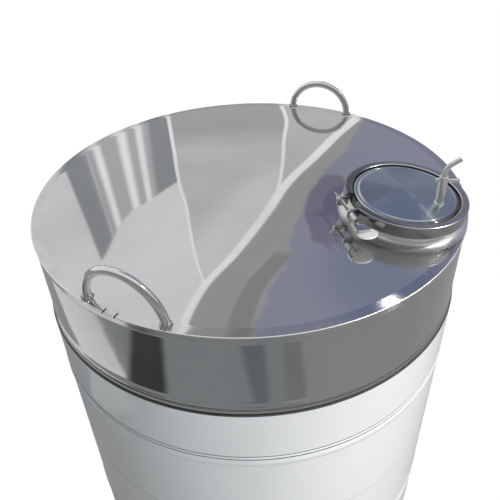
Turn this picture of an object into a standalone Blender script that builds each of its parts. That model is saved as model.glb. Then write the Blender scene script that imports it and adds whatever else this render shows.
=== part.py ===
"""Upright stainless storage tank with a clamped hatch on its domed roof.

Metres, +Z up. The origin is on the floor, on the tank's axis. Azimuths are
counted from +X towards +Y, so the tank's front looks along -Y.
"""

import math

import bmesh
import bpy
import numpy as np
from mathutils import Matrix, Vector

# Driving dimensions of the vessel
RIM_RADIUS = 0.400
RIM_HEIGHT = 1.250
ROOF_RISE = 0.02208
ROOF_RINGS = 6
END_FLAT = 0.0175
END_EDGE = 0.0010
SKIRT_DEPTH = 0.0155
SHEET = 0.002
BAND_RADIUS = 0.3980
WALL_RADIUS = 0.4020
INNER_RADIUS = 0.3960
BAND_DEPTH = 0.1656
RIB_DEPTH = 0.2792
SEAM_DEPTH = 0.4832
BEAD_RISE = 0.0022
BEAD_HALF = 0.0033
SWELL_HALF = 0.0105
SWELL_RISE = 0.0015
BOTTOM_SLOPE = math.radians(8.0)
GAP = 0.0003

# Facets round the vessel, and quarters that each course is split into
FACETS = 64
QUARTERS = ("front", "right", "back", "left")
FIRST_QUARTER = math.radians(-135.0)

# Legs and feet
LEG_RADIUS = 0.0212
LEG_CIRCLE = 0.330
LEG_SIDES = 20
LEG_AZIMUTHS = {"front_right": -45.0, "back_right": 45.0, "back_left": 135.0, "front_left": -135.0}
FOOT_RADIUS = 0.040
FOOT_EDGE = 0.0048
FOOT_HUB = 0.024
FOOT_SHOULDER = 0.0120
FOOT_THICKNESS = 0.0136
FOOT_STEM = 0.008
LEG_FOOT_HEIGHT = 0.040

# Outlet stub under the lowest point of the bottom
OUTLET_FACETS = 32
OUTLET_RADIUS = 0.0300
OUTLET_BORE = 0.0250
OUTLET_LENGTH = 0.060
OUTLET_RIM = 0.0380
OUTLET_RIM_THICKNESS = 0.008

# Carrying handles on the flat edge of the roof
HANDLE_BAR = 0.0070
HANDLE_CIRCLE = 0.3890
HANDLE_LEAN = math.radians(4.0)
HANDLE_STEPS = 20
BAR_SIDES = 14
HANDLES = {
    "handle_front": {"azimuth": -118.6, "half_span": 0.0700, "rise": 0.0740},
    "handle_rear": {"azimuth": 62.6, "half_span": 0.0665, "rise": 0.0600},
}

# Hatch: heights are measured from the roof along the hatch's own axis
HATCH_X = 0.2623
HATCH_Y = -0.1236
HATCH_FACETS = 48
NECK_RADIUS = 0.0915
NECK_LOW = -0.0060
NECK_TOP = 0.0245
NECK_FLANGE_RADIUS = 0.0945
NECK_FLANGE = 0.002
GASKET_THICKNESS = 0.0034
GASKET_INNER = 0.0900
LID_FLANGE_RADIUS = 0.0950
LID_EDGE_RADIUS = 0.0880
LID_EDGE_TOP = 0.0365
LID_ROUND = 0.0015
LID_PLATE_RADIUS = 0.0820
LID_PLATE_TOP = 0.0385
LID_CENTRE_TOP = 0.0455
RING_OUTER = 0.1035
RING_SHEET = 0.0015
RING_TOP = 0.0405
RING_LIP_RADIUS = 0.0905
RING_CREST_RADIUS = 0.0955
RING_SHOULDER = 0.0360
RING_FOOT = 0.0185
RING_FOOT_LIP = 0.1000

# Clamp on the ring, in its own frame: Y out from the ring, Z up the hatch. The lever is on
# the -X side, towards the tank's front. Places along the bolt are counted towards the lever.
CLAMP_AZIMUTH = math.radians(-138.0)
PIN_SIDES = 16
BOLT_OFFSET = 0.1105
BOLT_HEIGHT = 0.0290
BOLT_RADIUS = 0.0030
BOLT_START = -0.0350
LUG_FACE = 0.0175
LUG_THICKNESS = 0.0030
LUG_INNER = 0.0965
LUG_OUTER = 0.1175
LUG_CORNER = 0.0040
SLEEVE_RADIUS = 0.0050
SLEEVE_END = 0.0400
BLOCK_LOW = 0.0245
BLOCK_HIGH = 0.0300
BLOCK_ROOT_HALF = 0.0045
BLOCK_SHOULDER = 0.0475
BLOCK_SHOULDER_HALF = 0.0120
BLOCK_WAIST = 0.0600
BLOCK_WAIST_HALF = 0.0135
BLOCK_END = 0.0672
LEVER_PIVOT = 0.0505
LEVER_PIN_RADIUS = 0.0028
LEVER_HEAD_RADIUS = 0.0045
LEVER_HEAD_TOP_RADIUS = 0.0032
LEVER_HEAD = 0.0012
LEVER_SHEET = 0.0030
LEVER_NECK = 0.0075
PADDLE_HALF_LENGTH = 0.0174
PADDLE_HALF_WIDTH = 0.0123
PADDLE_X = 0.0692
PADDLE_Y = 0.1053
PADDLE_STEPS = 20
PADDLE_HALF_SWEEP = math.radians(150.0)
NECK_STEPS = 6
WING_HUB = 0.0080
WING_HUB_RADIUS = 0.0055
WING_SPAN = 0.0150
WING_TIP = 0.0135
WING_ROOT = 0.0050
WING_MIDDLE = 0.0066
WING_REACH = 0.0110
WING_HALF_SHEET = 0.00125
WING_TURN = math.radians(35.0)

# Vent on the lid: a plumb pipe with a nozzle, a boss and a bent spout
VENT_OUT = 0.0590
VENT_SIDE = -0.0070
VENT_RADIUS = 0.0072
VENT_LENGTH = 0.0500
VENT_SIDES = 20
NOZZLE_RADIUS = 0.0035
NOZZLE_LENGTH = 0.0180
NOZZLE_DROP = 0.0095
BOSS_RADIUS = 0.0036
BOSS_LENGTH = 0.0050
BOSS_DROP = 0.0070
SPOUT_RADIUS = 0.0042
SPOUT_STEM = 0.0020
SPOUT_REACH = 0.0150
SPOUT_BEND = math.radians(57.0)
SPOUT_BEND_RADIUS = 0.0220
SPOUT_STEPS = 6


def clear_scene():
    for item in list(bpy.data.objects):
        bpy.data.objects.remove(item, do_unlink=True)


def material(name, colour, metallic, roughness):
    """One Principled BSDF material of the given colour."""
    made = bpy.data.materials.new(name)
    made.use_nodes = True
    shader = made.node_tree.nodes["Principled BSDF"]
    shader.inputs["Base Color"].default_value = (*colour, 1.0)
    shader.inputs["Metallic"].default_value = metallic
    shader.inputs["Roughness"].default_value = roughness
    return made


def add_object(name, verts, faces, finish, place=None):
    """A mesh object with its faces pointing out, shaded smooth up to 30 degrees."""
    mesh = bpy.data.meshes.new(name)
    mesh.from_pydata([tuple(v) for v in verts], [], faces)
    shell = bmesh.new()
    shell.from_mesh(mesh)
    bmesh.ops.recalc_face_normals(shell, faces=shell.faces)
    if shell.calc_volume(signed=True) < 0.0:
        bmesh.ops.reverse_faces(shell, faces=shell.faces)
    shell.to_mesh(mesh)
    shell.free()
    mesh.shade_smooth()
    mesh.set_sharp_from_angle(angle=math.radians(30.0))
    item = bpy.data.objects.new(name, mesh)
    if place is not None:
        item.matrix_world = place
    mesh.materials.append(finish)
    bpy.context.scene.collection.objects.link(item)
    return item


def turned(name, profile, finish, place=None, facets=FACETS, start=0.0, sweep=2.0 * math.pi):
    """A closed outline of (radius, height) points turned about Z.

    A full turn closes on itself. A part turn is capped by the outline at both
    ends. A point at radius 0 becomes one pole vertex.
    """
    full = abs(sweep - 2.0 * math.pi) < 1e-9
    stations = facets if full else facets + 1
    verts = []
    rows = []
    for radius, height in profile:
        if radius < 1e-9:
            verts.append((0.0, 0.0, height))
            rows.append([len(verts) - 1] * stations)
            continue
        row = []
        for k in range(stations):
            angle = start + sweep * k / facets
            verts.append((radius * math.cos(angle), radius * math.sin(angle), height))
            row.append(len(verts) - 1)
        rows.append(row)
    faces = []
    count = len(rows)
    for i in range(count):
        low, high = rows[i], rows[(i + 1) % count]
        for k in range(facets):
            n = (k + 1) % stations
            corners = []
            for index in (low[k], low[n], high[n], high[k]):
                if index not in corners:
                    corners.append(index)
            if len(corners) > 2:
                faces.append(corners)
    if not full:
        faces.append([row[0] for row in rows])
        faces.append([row[-1] for row in rows])
    return add_object(name, verts, faces, finish, place)


def prism(name, outline, low, high, finish, place):
    """An outline of (x, y) points raised from one height to another along Z."""
    count = len(outline)
    verts = [(x, y, low) for x, y in outline] + [(x, y, high) for x, y in outline]
    faces = [list(range(count)), [count + k for k in range(count)]]
    for k in range(count):
        n = (k + 1) % count
        faces.append([k, n, count + n, count + k])
    return add_object(name, verts, faces, finish, place)


def swept_bar(name, path, radius, finish, sides, foot_height):
    """A round bar along a path in one plane, with its first ring laid on a height.

    Where the last point of the path is as low as the first, its ring is laid too.
    """
    path = np.asarray(path, dtype=float)
    tangent = np.gradient(path, axis=0)
    tangent /= np.linalg.norm(tangent, axis=1)[:, None]
    normal = np.cross(path[1] - path[0], path[-1] - path[0])
    if np.linalg.norm(normal) < 1e-9:
        normal = np.cross(path[1] - path[0], path[len(path) // 2] - path[0])
    normal /= np.linalg.norm(normal)
    verts = []
    for point, along in zip(path, tangent):
        across = np.cross(along, normal)
        for k in range(sides):
            angle = 2.0 * math.pi * k / sides
            verts.append(point + radius * (math.cos(angle) * normal + math.sin(angle) * across))
    laid = list(range(sides))
    if abs(path[-1][2] - path[0][2]) < 1e-6:
        laid += list(range(len(verts) - sides, len(verts)))
    for k in laid:
        verts[k][2] = foot_height
    faces = [list(range(sides)), list(range(len(verts) - sides, len(verts)))]
    for i in range(len(path) - 1):
        for k in range(sides):
            n = (k + 1) % sides
            faces.append([i * sides + k, i * sides + n, (i + 1) * sides + n, (i + 1) * sides + k])
    return add_object(name, verts, faces, finish)


def standing_bar(name, centre, radius, sides, top, foot, finish):
    """A plumb bar with a flat top, its lower end shaped by the height foot(x, y)."""
    low, high = [], []
    for k in range(sides):
        angle = 2.0 * math.pi * k / sides
        x = centre[0] + radius * math.cos(angle)
        y = centre[1] + radius * math.sin(angle)
        low.append((x, y, foot(x, y)))
        high.append((x, y, top(x, y)))
    faces = [list(range(sides)), [sides + k for k in range(sides)]]
    for k in range(sides):
        n = (k + 1) % sides
        faces.append([k, n, sides + n, sides + k])
    return add_object(name, low + high, faces, finish)


def combined(body, form, operation):
    """Join another form's shape to the body or take it out, and hide that form."""
    step = body.modifiers.new(form.name, "BOOLEAN")
    step.operation = operation
    step.solver = "EXACT"
    step.object = form
    form.hide_render = True
    form.display_type = "WIRE"


def bored(body, cutter):
    """Take the cutter's shape out of the body."""
    combined(body, cutter, "DIFFERENCE")


def roof_rise(radius):
    """Rise of the domed roof over its flat edge, a parabola of the radius."""
    share = min(1.0, radius / (RIM_RADIUS - END_FLAT))
    return ROOF_RISE * (1.0 - share * share)


def bottom_drop(radius):
    """Drop of the conical bottom under its flat edge at a distance from the axis."""
    return max(0.0, RIM_RADIUS - END_FLAT - radius) * math.tan(BOTTOM_SLOPE)


def bottom_height(radius):
    """Height of the bottom's underside at a distance from the axis."""
    return RIM_HEIGHT - 2.0 * SEAM_DEPTH - bottom_drop(radius)


def hatch_place():
    """The hatch's frame: on the roof, Z square to the roof's slope, X down it."""
    azimuth = math.atan2(HATCH_Y, HATCH_X)
    distance = math.hypot(HATCH_X, HATCH_Y)
    slope = math.atan(2.0 * ROOF_RISE * distance / (RIM_RADIUS - END_FLAT) ** 2)
    out = Vector((math.cos(azimuth), math.sin(azimuth), 0.0))
    down = out * math.cos(slope) - Vector((0.0, 0.0, math.sin(slope)))
    side = Vector((-math.sin(azimuth), math.cos(azimuth), 0.0))
    place = Matrix((down, side, down.cross(side))).transposed().to_4x4()
    place.translation = Vector((HATCH_X, HATCH_Y, RIM_HEIGHT + roof_rise(distance)))
    return place


def clamp_place(hatch):
    """The clamp's frame: X along the bolt, Y out from the ring, Z up the hatch."""
    return hatch @ Matrix.Rotation(CLAMP_AZIMUTH - math.pi / 2.0, 4, "Z")


def bolt_place(clamp):
    """The bolt's frame: Z along the bolt to the lever, X up the hatch, Y out from the ring."""
    middle = Matrix.Translation((0.0, BOLT_OFFSET, BOLT_HEIGHT))
    return clamp @ middle @ Matrix.Rotation(-math.pi / 2.0, 4, "Y")


def course_section(radius, inner, top, bottom, forms):
    """Section of one wall course, from its top down.

    forms holds (depth, half height, rise) of the raised forms in it, top first.
    Depths are counted from the rim.
    """
    outer = [(radius, top)]
    for depth, half, rise in forms:
        for share, lift in ((-1.0, 0.0), (-0.5, 1.0), (0.5, 1.0), (1.0, 0.0)):
            outer.append((radius + rise * lift, depth + half * share))
    outer.append((radius, bottom))
    return outer + [(inner, bottom), (inner, top)]


def build_course(name, section, finish):
    """One course of the wall, split into quarters that meet at upright seams."""
    section = [(radius, RIM_HEIGHT - depth) for radius, depth in section]
    steps = FACETS // len(QUARTERS)
    sweep = 2.0 * math.pi / len(QUARTERS)
    slit = GAP / WALL_RADIUS
    for index, quarter in enumerate(QUARTERS):
        start = FIRST_QUARTER + index * sweep + slit / 2.0
        turned(f"{name}_{quarter}", section, finish, facets=steps, start=start, sweep=sweep - slit)


def build_wall(bright, white):
    """Bright band and white course, and the same again mirrored at mid height."""
    swell_step = BEAD_HALF + SWELL_HALF + 2.0 * GAP
    band_end = BAND_DEPTH + BEAD_HALF + GAP
    bead = (BEAD_HALF, BEAD_RISE)
    swell = (SWELL_HALF, SWELL_RISE)
    band_forms = [(BAND_DEPTH - swell_step, *swell), (BAND_DEPTH, *bead)]
    wall_forms = [(RIB_DEPTH, *bead), (RIB_DEPTH + swell_step, *swell)]
    band = course_section(BAND_RADIUS, INNER_RADIUS, SKIRT_DEPTH + GAP, band_end, band_forms)
    wall = course_section(WALL_RADIUS, INNER_RADIUS, band_end + GAP, SEAM_DEPTH - GAP / 2.0, wall_forms)
    for name, section, finish in (("band", band, bright), ("wall", wall, white)):
        mirrored = [(radius, 2.0 * SEAM_DEPTH - depth) for radius, depth in section]
        build_course(f"upper_{name}", section, finish)
        build_course(f"lower_{name}", mirrored, finish)


def end_section(edge_height, sign, crown):
    """Section of a spun end: its crown, then the flat edge and the skirt.

    crown holds (radius, rise) from the middle out to the flat edge. sign is +1
    for the roof, whose crown rises, and -1 for the bottom.
    """
    outer = crown + [(RIM_RADIUS - END_EDGE, 0.0), (RIM_RADIUS, -END_EDGE), (BAND_RADIUS, -SKIRT_DEPTH)]
    inner = [(INNER_RADIUS, -SKIRT_DEPTH), (INNER_RADIUS, -SHEET)]
    inner += [(radius, rise - SHEET) for radius, rise in reversed(crown)]
    return [(radius, edge_height + sign * height) for radius, height in outer + inner]


def build_roof(bright, hatch):
    """Spun dome with a flat edge and a skirt, cut for the hatch neck."""
    flat = RIM_RADIUS - END_FLAT
    crown = [(flat * k / ROOF_RINGS, roof_rise(flat * k / ROOF_RINGS)) for k in range(ROOF_RINGS + 1)]
    roof = turned("roof", end_section(RIM_HEIGHT, 1.0, crown), bright)
    hole = NECK_RADIUS + GAP
    reach = NECK_TOP
    plug = [(0.0, reach), (hole, reach), (hole, -reach), (0.0, -reach)]
    bored(roof, turned("roof_hole_cutter", plug, bright, hatch, facets=HATCH_FACETS))


def build_bottom(bright):
    """Spun bottom that falls to a plain outlet stub with a rim for a clamp."""
    hole = OUTLET_RADIUS + GAP
    crown = [(hole, bottom_drop(hole)), (RIM_RADIUS - END_FLAT, 0.0)]
    turned("bottom", end_section(bottom_height(RIM_RADIUS), -1.0, crown), bright)
    top = bottom_height(hole) + SHEET
    low = top - OUTLET_LENGTH
    stub = [(OUTLET_RADIUS, top), (OUTLET_RADIUS, low + OUTLET_RIM_THICKNESS),
            (OUTLET_RIM, low + OUTLET_RIM_THICKNESS / 2.0), (OUTLET_RIM, low),
            (OUTLET_BORE, low), (OUTLET_BORE, top)]
    turned("outlet_stub", stub, bright, facets=OUTLET_FACETS)


def build_legs(bright, rubber):
    """Tube legs cut to the bottom's slope, each on a screwed foot."""
    stem_top = LEG_FOOT_HEIGHT - GAP
    foot = [(0.0, 0.0), (FOOT_RADIUS, 0.0), (FOOT_RADIUS, FOOT_EDGE), (FOOT_HUB, FOOT_SHOULDER),
            (FOOT_STEM, FOOT_THICKNESS), (FOOT_STEM, stem_top), (0.0, stem_top)]
    for name, degrees in LEG_AZIMUTHS.items():
        azimuth = math.radians(degrees)
        centre = Vector((LEG_CIRCLE * math.cos(azimuth), LEG_CIRCLE * math.sin(azimuth), 0.0))
        standing_bar(f"leg_{name}", centre, LEG_RADIUS, LEG_SIDES,
                     lambda x, y: bottom_height(math.hypot(x, y)) - GAP,
                     lambda x, y: LEG_FOOT_HEIGHT, bright)
        turned(f"foot_{name}", foot, rubber, Matrix.Translation(centre), facets=LEG_SIDES)


def build_handles(bright):
    """Bars bent to half rings, standing on the flat edge of the roof."""
    foot_height = RIM_HEIGHT + GAP
    for name, size in HANDLES.items():
        azimuth = math.radians(size["azimuth"])
        out = np.array([math.cos(azimuth), math.sin(azimuth), 0.0])
        side = np.array([-math.sin(azimuth), math.cos(azimuth), 0.0])
        up = math.cos(HANDLE_LEAN) * np.array([0.0, 0.0, 1.0]) + math.sin(HANDLE_LEAN) * out
        middle = math.sqrt(HANDLE_CIRCLE ** 2 - size["half_span"] ** 2)
        base = middle * out + np.array([0.0, 0.0, foot_height])
        turns = np.linspace(0.0, math.pi, HANDLE_STEPS + 1)[:, None]
        path = base + size["half_span"] * np.cos(turns) * side + size["rise"] * np.sin(turns) * up
        swept_bar(name, path, HANDLE_BAR, bright, BAR_SIDES, foot_height)


def build_neck(bright, hatch):
    """Neck with a turned-out edge, through the hole in the roof."""
    bore = NECK_RADIUS - SHEET
    section = [(bore, NECK_LOW), (NECK_RADIUS, NECK_LOW), (NECK_RADIUS, NECK_TOP - NECK_FLANGE),
               (NECK_FLANGE_RADIUS, NECK_TOP - NECK_FLANGE), (NECK_FLANGE_RADIUS, NECK_TOP), (bore, NECK_TOP)]
    turned("hatch_neck", section, bright, hatch, facets=HATCH_FACETS)


def build_lid(spun, black, hatch):
    """Dished lid with a turned edge, on a black gasket. Returns its edge's top."""
    seat = NECK_TOP + GAP
    gasket_top = seat + GASKET_THICKNESS
    gasket = [(GASKET_INNER, seat), (NECK_FLANGE_RADIUS, seat), (NECK_FLANGE_RADIUS, gasket_top),
              (GASKET_INNER, gasket_top)]
    turned("hatch_gasket", gasket, black, hatch, facets=HATCH_FACETS)
    low = gasket_top + GAP
    edge_top = low + SHEET
    inner = LID_EDGE_RADIUS - SHEET
    section = [(0.0, LID_CENTRE_TOP), (LID_PLATE_RADIUS, LID_PLATE_TOP),
               (LID_EDGE_RADIUS - LID_ROUND, LID_EDGE_TOP), (LID_EDGE_RADIUS, LID_EDGE_TOP - LID_ROUND),
               (LID_EDGE_RADIUS, edge_top), (LID_FLANGE_RADIUS, edge_top), (LID_FLANGE_RADIUS, low),
               (inner, low), (inner, LID_EDGE_TOP - SHEET), (LID_PLATE_RADIUS, LID_PLATE_TOP - SHEET),
               (0.0, LID_CENTRE_TOP - SHEET)]
    turned("hatch_lid", section, spun, hatch, facets=HATCH_FACETS)
    return edge_top


def build_ring(bright, hatch, edge_top):
    """Clamping ring over the lid's edge, sawn open between its two lugs."""
    seat = edge_top + GAP
    inner = RING_OUTER - RING_SHEET
    section = [(RING_LIP_RADIUS, seat), (RING_LIP_RADIUS, RING_TOP - RING_SHEET),
               (RING_CREST_RADIUS, RING_TOP), (inner, RING_SHOULDER + RING_SHEET),
               (RING_OUTER, RING_SHOULDER), (RING_OUTER, RING_FOOT + RING_SHEET), (inner, RING_FOOT),
               (RING_FOOT_LIP, RING_FOOT), (RING_FOOT_LIP, RING_FOOT + RING_SHEET),
               (inner, RING_FOOT + 2.0 * RING_SHEET), (inner, seat)]
    ring = turned("clamp_ring", section, bright, hatch, facets=HATCH_FACETS)
    half = LUG_FACE + LUG_THICKNESS + GAP
    inner = NECK_RADIUS / 2.0
    slot = [(-half, inner), (half, inner), (half, LUG_OUTER), (-half, LUG_OUTER)]
    bored(ring, prism("ring_slot_cutter", slot, 0.0, 2.0 * RING_TOP, bright, clamp_place(hatch)))


def build_lugs(bright, bolt):
    """Two plates welded on the ring's sawn ends, bored for the bolt."""
    reach = BLOCK_END
    hole = [(0.0, reach), (BOLT_RADIUS + GAP, reach), (BOLT_RADIUS + GAP, -reach), (0.0, -reach)]
    cutter = turned("lug_bore_cutter", hole, bright, bolt, facets=PIN_SIDES)
    low, high = RING_FOOT - BOLT_HEIGHT, RING_SHOULDER - BOLT_HEIGHT
    inner, outer = LUG_INNER - BOLT_OFFSET, LUG_OUTER - BOLT_OFFSET
    outline = [(low, inner), (high, inner), (high, outer - LUG_CORNER), (high - LUG_CORNER, outer),
               (low + LUG_CORNER, outer), (low, outer - LUG_CORNER)]
    for name, start in (("clamp_lug_far", -LUG_FACE - LUG_THICKNESS), ("clamp_lug_near", LUG_FACE)):
        bored(prism(name, outline, start, start + LUG_THICKNESS, bright, bolt), cutter)


def build_wing_nut(bright, bolt, end):
    """Hub with two flat wings, behind the far lug. end is the hub's face on the lug."""
    start = end - WING_HUB
    turn = bolt @ Matrix.Rotation(WING_TURN, 4, "Z")
    wing = [(WING_HUB_RADIUS, end), (WING_SPAN, end - WING_MIDDLE), (WING_TIP, end - WING_REACH),
            (WING_ROOT, start)]
    outline = wing + [(-span, along) for span, along in reversed(wing)]
    stand = turn @ Matrix.Rotation(math.pi / 2.0, 4, "X")
    nut = prism("wing_nut", outline, -WING_HALF_SHEET, WING_HALF_SHEET, bright, stand)
    hub = [(0.0, start), (WING_HUB_RADIUS, start), (WING_HUB_RADIUS, end), (0.0, end)]
    combined(nut, turned("wing_hub_form", hub, bright, turn, facets=PIN_SIDES), "UNION")
    bore = BOLT_RADIUS + GAP
    reach = 2.0 * WING_HUB
    core = [(0.0, start - reach), (bore, start - reach), (bore, end + reach), (0.0, end + reach)]
    bored(nut, turned("wing_bore_cutter", core, bright, turn, facets=PIN_SIDES))


def build_bolt(bright, bolt):
    """Bolt through the lugs, with a sleeve on the lever's side and a wing nut on the other."""
    outer_face = LUG_FACE + LUG_THICKNESS + GAP
    bore = BOLT_RADIUS + GAP
    rod = [(0.0, BOLT_START), (BOLT_RADIUS, BOLT_START), (BOLT_RADIUS, SLEEVE_END), (0.0, SLEEVE_END)]
    turned("clamp_bolt", rod, bright, bolt, facets=PIN_SIDES)
    sleeve = [(bore, outer_face), (SLEEVE_RADIUS, outer_face), (SLEEVE_RADIUS, SLEEVE_END),
              (bore, SLEEVE_END)]
    turned("clamp_sleeve", sleeve, bright, bolt, facets=PIN_SIDES)
    build_wing_nut(bright, bolt, -outer_face)


def build_lever(bright, place):
    """Flared block at the bolt's end, and under it the lever with its oval paddle on a rivet."""
    pivot = Matrix.Translation((-LEVER_PIVOT, BOLT_OFFSET, 0.0))
    widths = [(SLEEVE_END + GAP, BLOCK_ROOT_HALF), (BLOCK_SHOULDER, BLOCK_SHOULDER_HALF),
              (BLOCK_WAIST, BLOCK_WAIST_HALF), (BLOCK_END, BLOCK_SHOULDER_HALF)]
    block_outline = [(LEVER_PIVOT - along, half) for along, half in widths]
    block_outline += [(LEVER_PIVOT - along, -half) for along, half in reversed(widths)]
    block = prism("clamp_block", block_outline, BLOCK_LOW, BLOCK_HIGH, bright, place @ pivot)
    lever_high = BLOCK_LOW - GAP
    lever_low = lever_high - LEVER_SHEET
    hole = LEVER_PIN_RADIUS + GAP
    core = [(0.0, 0.0), (hole, 0.0), (hole, 2.0 * BLOCK_HIGH), (0.0, 2.0 * BLOCK_HIGH)]
    cutter = turned("rivet_bore_cutter", core, bright, place @ pivot, facets=PIN_SIDES)
    bored(block, cutter)
    bottom, top = lever_low - GAP, BLOCK_HIGH + GAP
    rivet = [(0.0, top + LEVER_HEAD), (LEVER_HEAD_TOP_RADIUS, top + LEVER_HEAD), (LEVER_HEAD_RADIUS, top),
             (LEVER_PIN_RADIUS, top), (LEVER_PIN_RADIUS, bottom), (LEVER_HEAD_RADIUS, bottom),
             (LEVER_HEAD_TOP_RADIUS, bottom - LEVER_HEAD), (0.0, bottom - LEVER_HEAD)]
    turned("lever_rivet", rivet, bright, place @ pivot, facets=PIN_SIDES)
    centre = np.array([LEVER_PIVOT - PADDLE_X, PADDLE_Y - BOLT_OFFSET])
    aim = math.atan2(centre[1], centre[0])
    round_end = np.linspace(aim - PADDLE_HALF_SWEEP, aim + PADDLE_HALF_SWEEP, PADDLE_STEPS + 1)
    pin_end = np.linspace(aim + math.pi / 2.0, aim + 1.5 * math.pi, NECK_STEPS + 1)
    outline = [centre + np.array([PADDLE_HALF_WIDTH * math.cos(t), PADDLE_HALF_LENGTH * math.sin(t)])
               for t in round_end]
    outline += [LEVER_NECK * np.array([math.cos(t), math.sin(t)]) for t in pin_end]
    lever = prism("clamp_lever", outline, lever_low, lever_high, bright, place @ pivot)
    bored(lever, cutter)


def lid_height(x, y, hatch):
    """World height of the lid's top over a world point, found in three steps."""
    inverse = hatch.inverted()
    height = hatch.translation.z + LID_CENTRE_TOP
    for _ in range(3):
        local = inverse @ Vector((x, y, height))
        share = math.hypot(local.x, local.y) / LID_PLATE_RADIUS
        height += LID_CENTRE_TOP - share * (LID_CENTRE_TOP - LID_PLATE_TOP) - local.z
    return height


def build_vent(bright, hatch):
    """Plumb pipe on the lid, with a nozzle, a boss and a bent spout on its top."""
    foot = hatch @ Vector((VENT_OUT, VENT_SIDE, 0.0))
    top = lid_height(foot.x, foot.y, hatch) + VENT_LENGTH
    standing_bar("vent_pipe", foot, VENT_RADIUS, VENT_SIDES, lambda x, y: top,
                 lambda x, y: lid_height(x, y, hatch) + GAP, bright)
    for name, radius, length, drop, turn in (
            ("vent_nozzle", NOZZLE_RADIUS, NOZZLE_LENGTH, NOZZLE_DROP, math.pi / 2.0),
            ("vent_boss", BOSS_RADIUS, BOSS_LENGTH, BOSS_DROP, -math.pi / 2.0)):
        start = VENT_RADIUS + GAP
        bar = [(0.0, start), (radius, start), (radius, start + length), (0.0, start + length)]
        place = Matrix.Translation((foot.x, foot.y, top - drop)) @ Matrix.Rotation(turn, 4, "Y")
        turned(name, bar, bright, place, facets=PIN_SIDES)
    base = np.array([foot.x, foot.y, top + GAP])
    path = [base]
    for angle in np.linspace(0.0, SPOUT_BEND, SPOUT_STEPS + 1):
        across = SPOUT_BEND_RADIUS * (1.0 - math.cos(angle))
        path.append(base + np.array([across, 0.0, SPOUT_STEM + SPOUT_BEND_RADIUS * math.sin(angle)]))
    path.append(path[-1] + SPOUT_REACH * np.array([math.sin(SPOUT_BEND), 0.0, math.cos(SPOUT_BEND)]))
    swept_bar("vent_spout", path, SPOUT_RADIUS, bright, BAR_SIDES, base[2])


def main():
    clear_scene()
    bright = material("bright_steel", (0.62, 0.62, 0.63), 1.0, 0.06)
    white = material("white_coat", (0.86, 0.87, 0.88), 0.0, 0.22)
    black = material("black_rubber", (0.02, 0.02, 0.02), 0.0, 0.6)
    spun = material("spun_steel", (0.50, 0.53, 0.58), 1.0, 0.22)
    hatch = hatch_place()
    clamp = clamp_place(hatch)
    bolt = bolt_place(clamp)
    build_wall(bright, white)
    build_roof(bright, hatch)
    build_bottom(bright)
    build_legs(bright, black)
    build_handles(bright)
    build_neck(bright, hatch)
    edge_top = build_lid(spun, black, hatch)
    build_ring(bright, hatch, edge_top)
    build_lugs(bright, bolt)
    build_bolt(bright, bolt)
    build_lever(bright, clamp)
    build_vent(bright, hatch)


main()
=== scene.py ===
"""Looks of the upright storage tank: polished and spun steel, and the white coated wall.

Metres, +Z up, the tank's front towards -Y. Azimuths are counted from +X towards +Y.
"""

import math

import bmesh
import bpy
import numpy as np
from mathutils import Matrix


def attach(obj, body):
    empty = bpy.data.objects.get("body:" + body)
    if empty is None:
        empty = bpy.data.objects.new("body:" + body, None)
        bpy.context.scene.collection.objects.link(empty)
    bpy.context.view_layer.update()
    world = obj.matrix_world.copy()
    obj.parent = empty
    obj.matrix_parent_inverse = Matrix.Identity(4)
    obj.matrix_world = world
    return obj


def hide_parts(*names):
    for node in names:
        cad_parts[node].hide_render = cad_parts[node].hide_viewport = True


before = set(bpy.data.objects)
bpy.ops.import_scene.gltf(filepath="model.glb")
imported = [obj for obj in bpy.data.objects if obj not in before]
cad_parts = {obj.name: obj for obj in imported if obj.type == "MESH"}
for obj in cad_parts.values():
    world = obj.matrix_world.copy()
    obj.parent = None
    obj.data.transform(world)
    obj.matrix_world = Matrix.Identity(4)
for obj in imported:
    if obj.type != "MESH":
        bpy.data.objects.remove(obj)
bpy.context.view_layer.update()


# Feet: round rubber pads on short stems, screwed up into the legs to level the tank.
FOOT_RADIUS = 0.040
FOOT_STEM = 0.008
FOOT_TOP = 0.0397
LEG_CIRCLE = 0.330
LEG_AZIMUTHS = {"front_right": -45.0, "back_right": 45.0, "back_left": 135.0, "front_left": -135.0}


def rounded(outline, size, steps=5):
    """Outline of (radius, height) points with its corners turned into arcs.

    The corner P gives way to (1-t)^2 A + 2t(1-t) P + t^2 B, with A and B on its two
    edges. One more point outside A and B keeps the flats flat. Points on the axis stay.
    """
    points = np.asarray(outline, dtype=float)
    back = np.roll(points, 1, axis=0) - points
    ahead = np.roll(points, -1, axis=0) - points
    held = points[:, :1] < 1e-9
    cuts = []
    for edge in (back, ahead):
        length = np.maximum(np.linalg.norm(edge, axis=1, keepdims=True), 1e-9)
        cuts.append(np.where(held, 0.0, np.minimum(size / length, 0.4)))
    start = points + back * cuts[0]
    end = points + ahead * cuts[1]
    t = np.linspace(0.0, 1.0, steps)[:, None, None]
    arc = (1.0 - t) ** 2 * start + 2.0 * t * (1.0 - t) * points + t ** 2 * end
    before = (points + back * cuts[0] * 1.2)[None]
    after = (points + ahead * cuts[1] * 1.2)[None]
    return np.concatenate([before, arc, after]).transpose(1, 0, 2).reshape(-1, 2)


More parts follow.
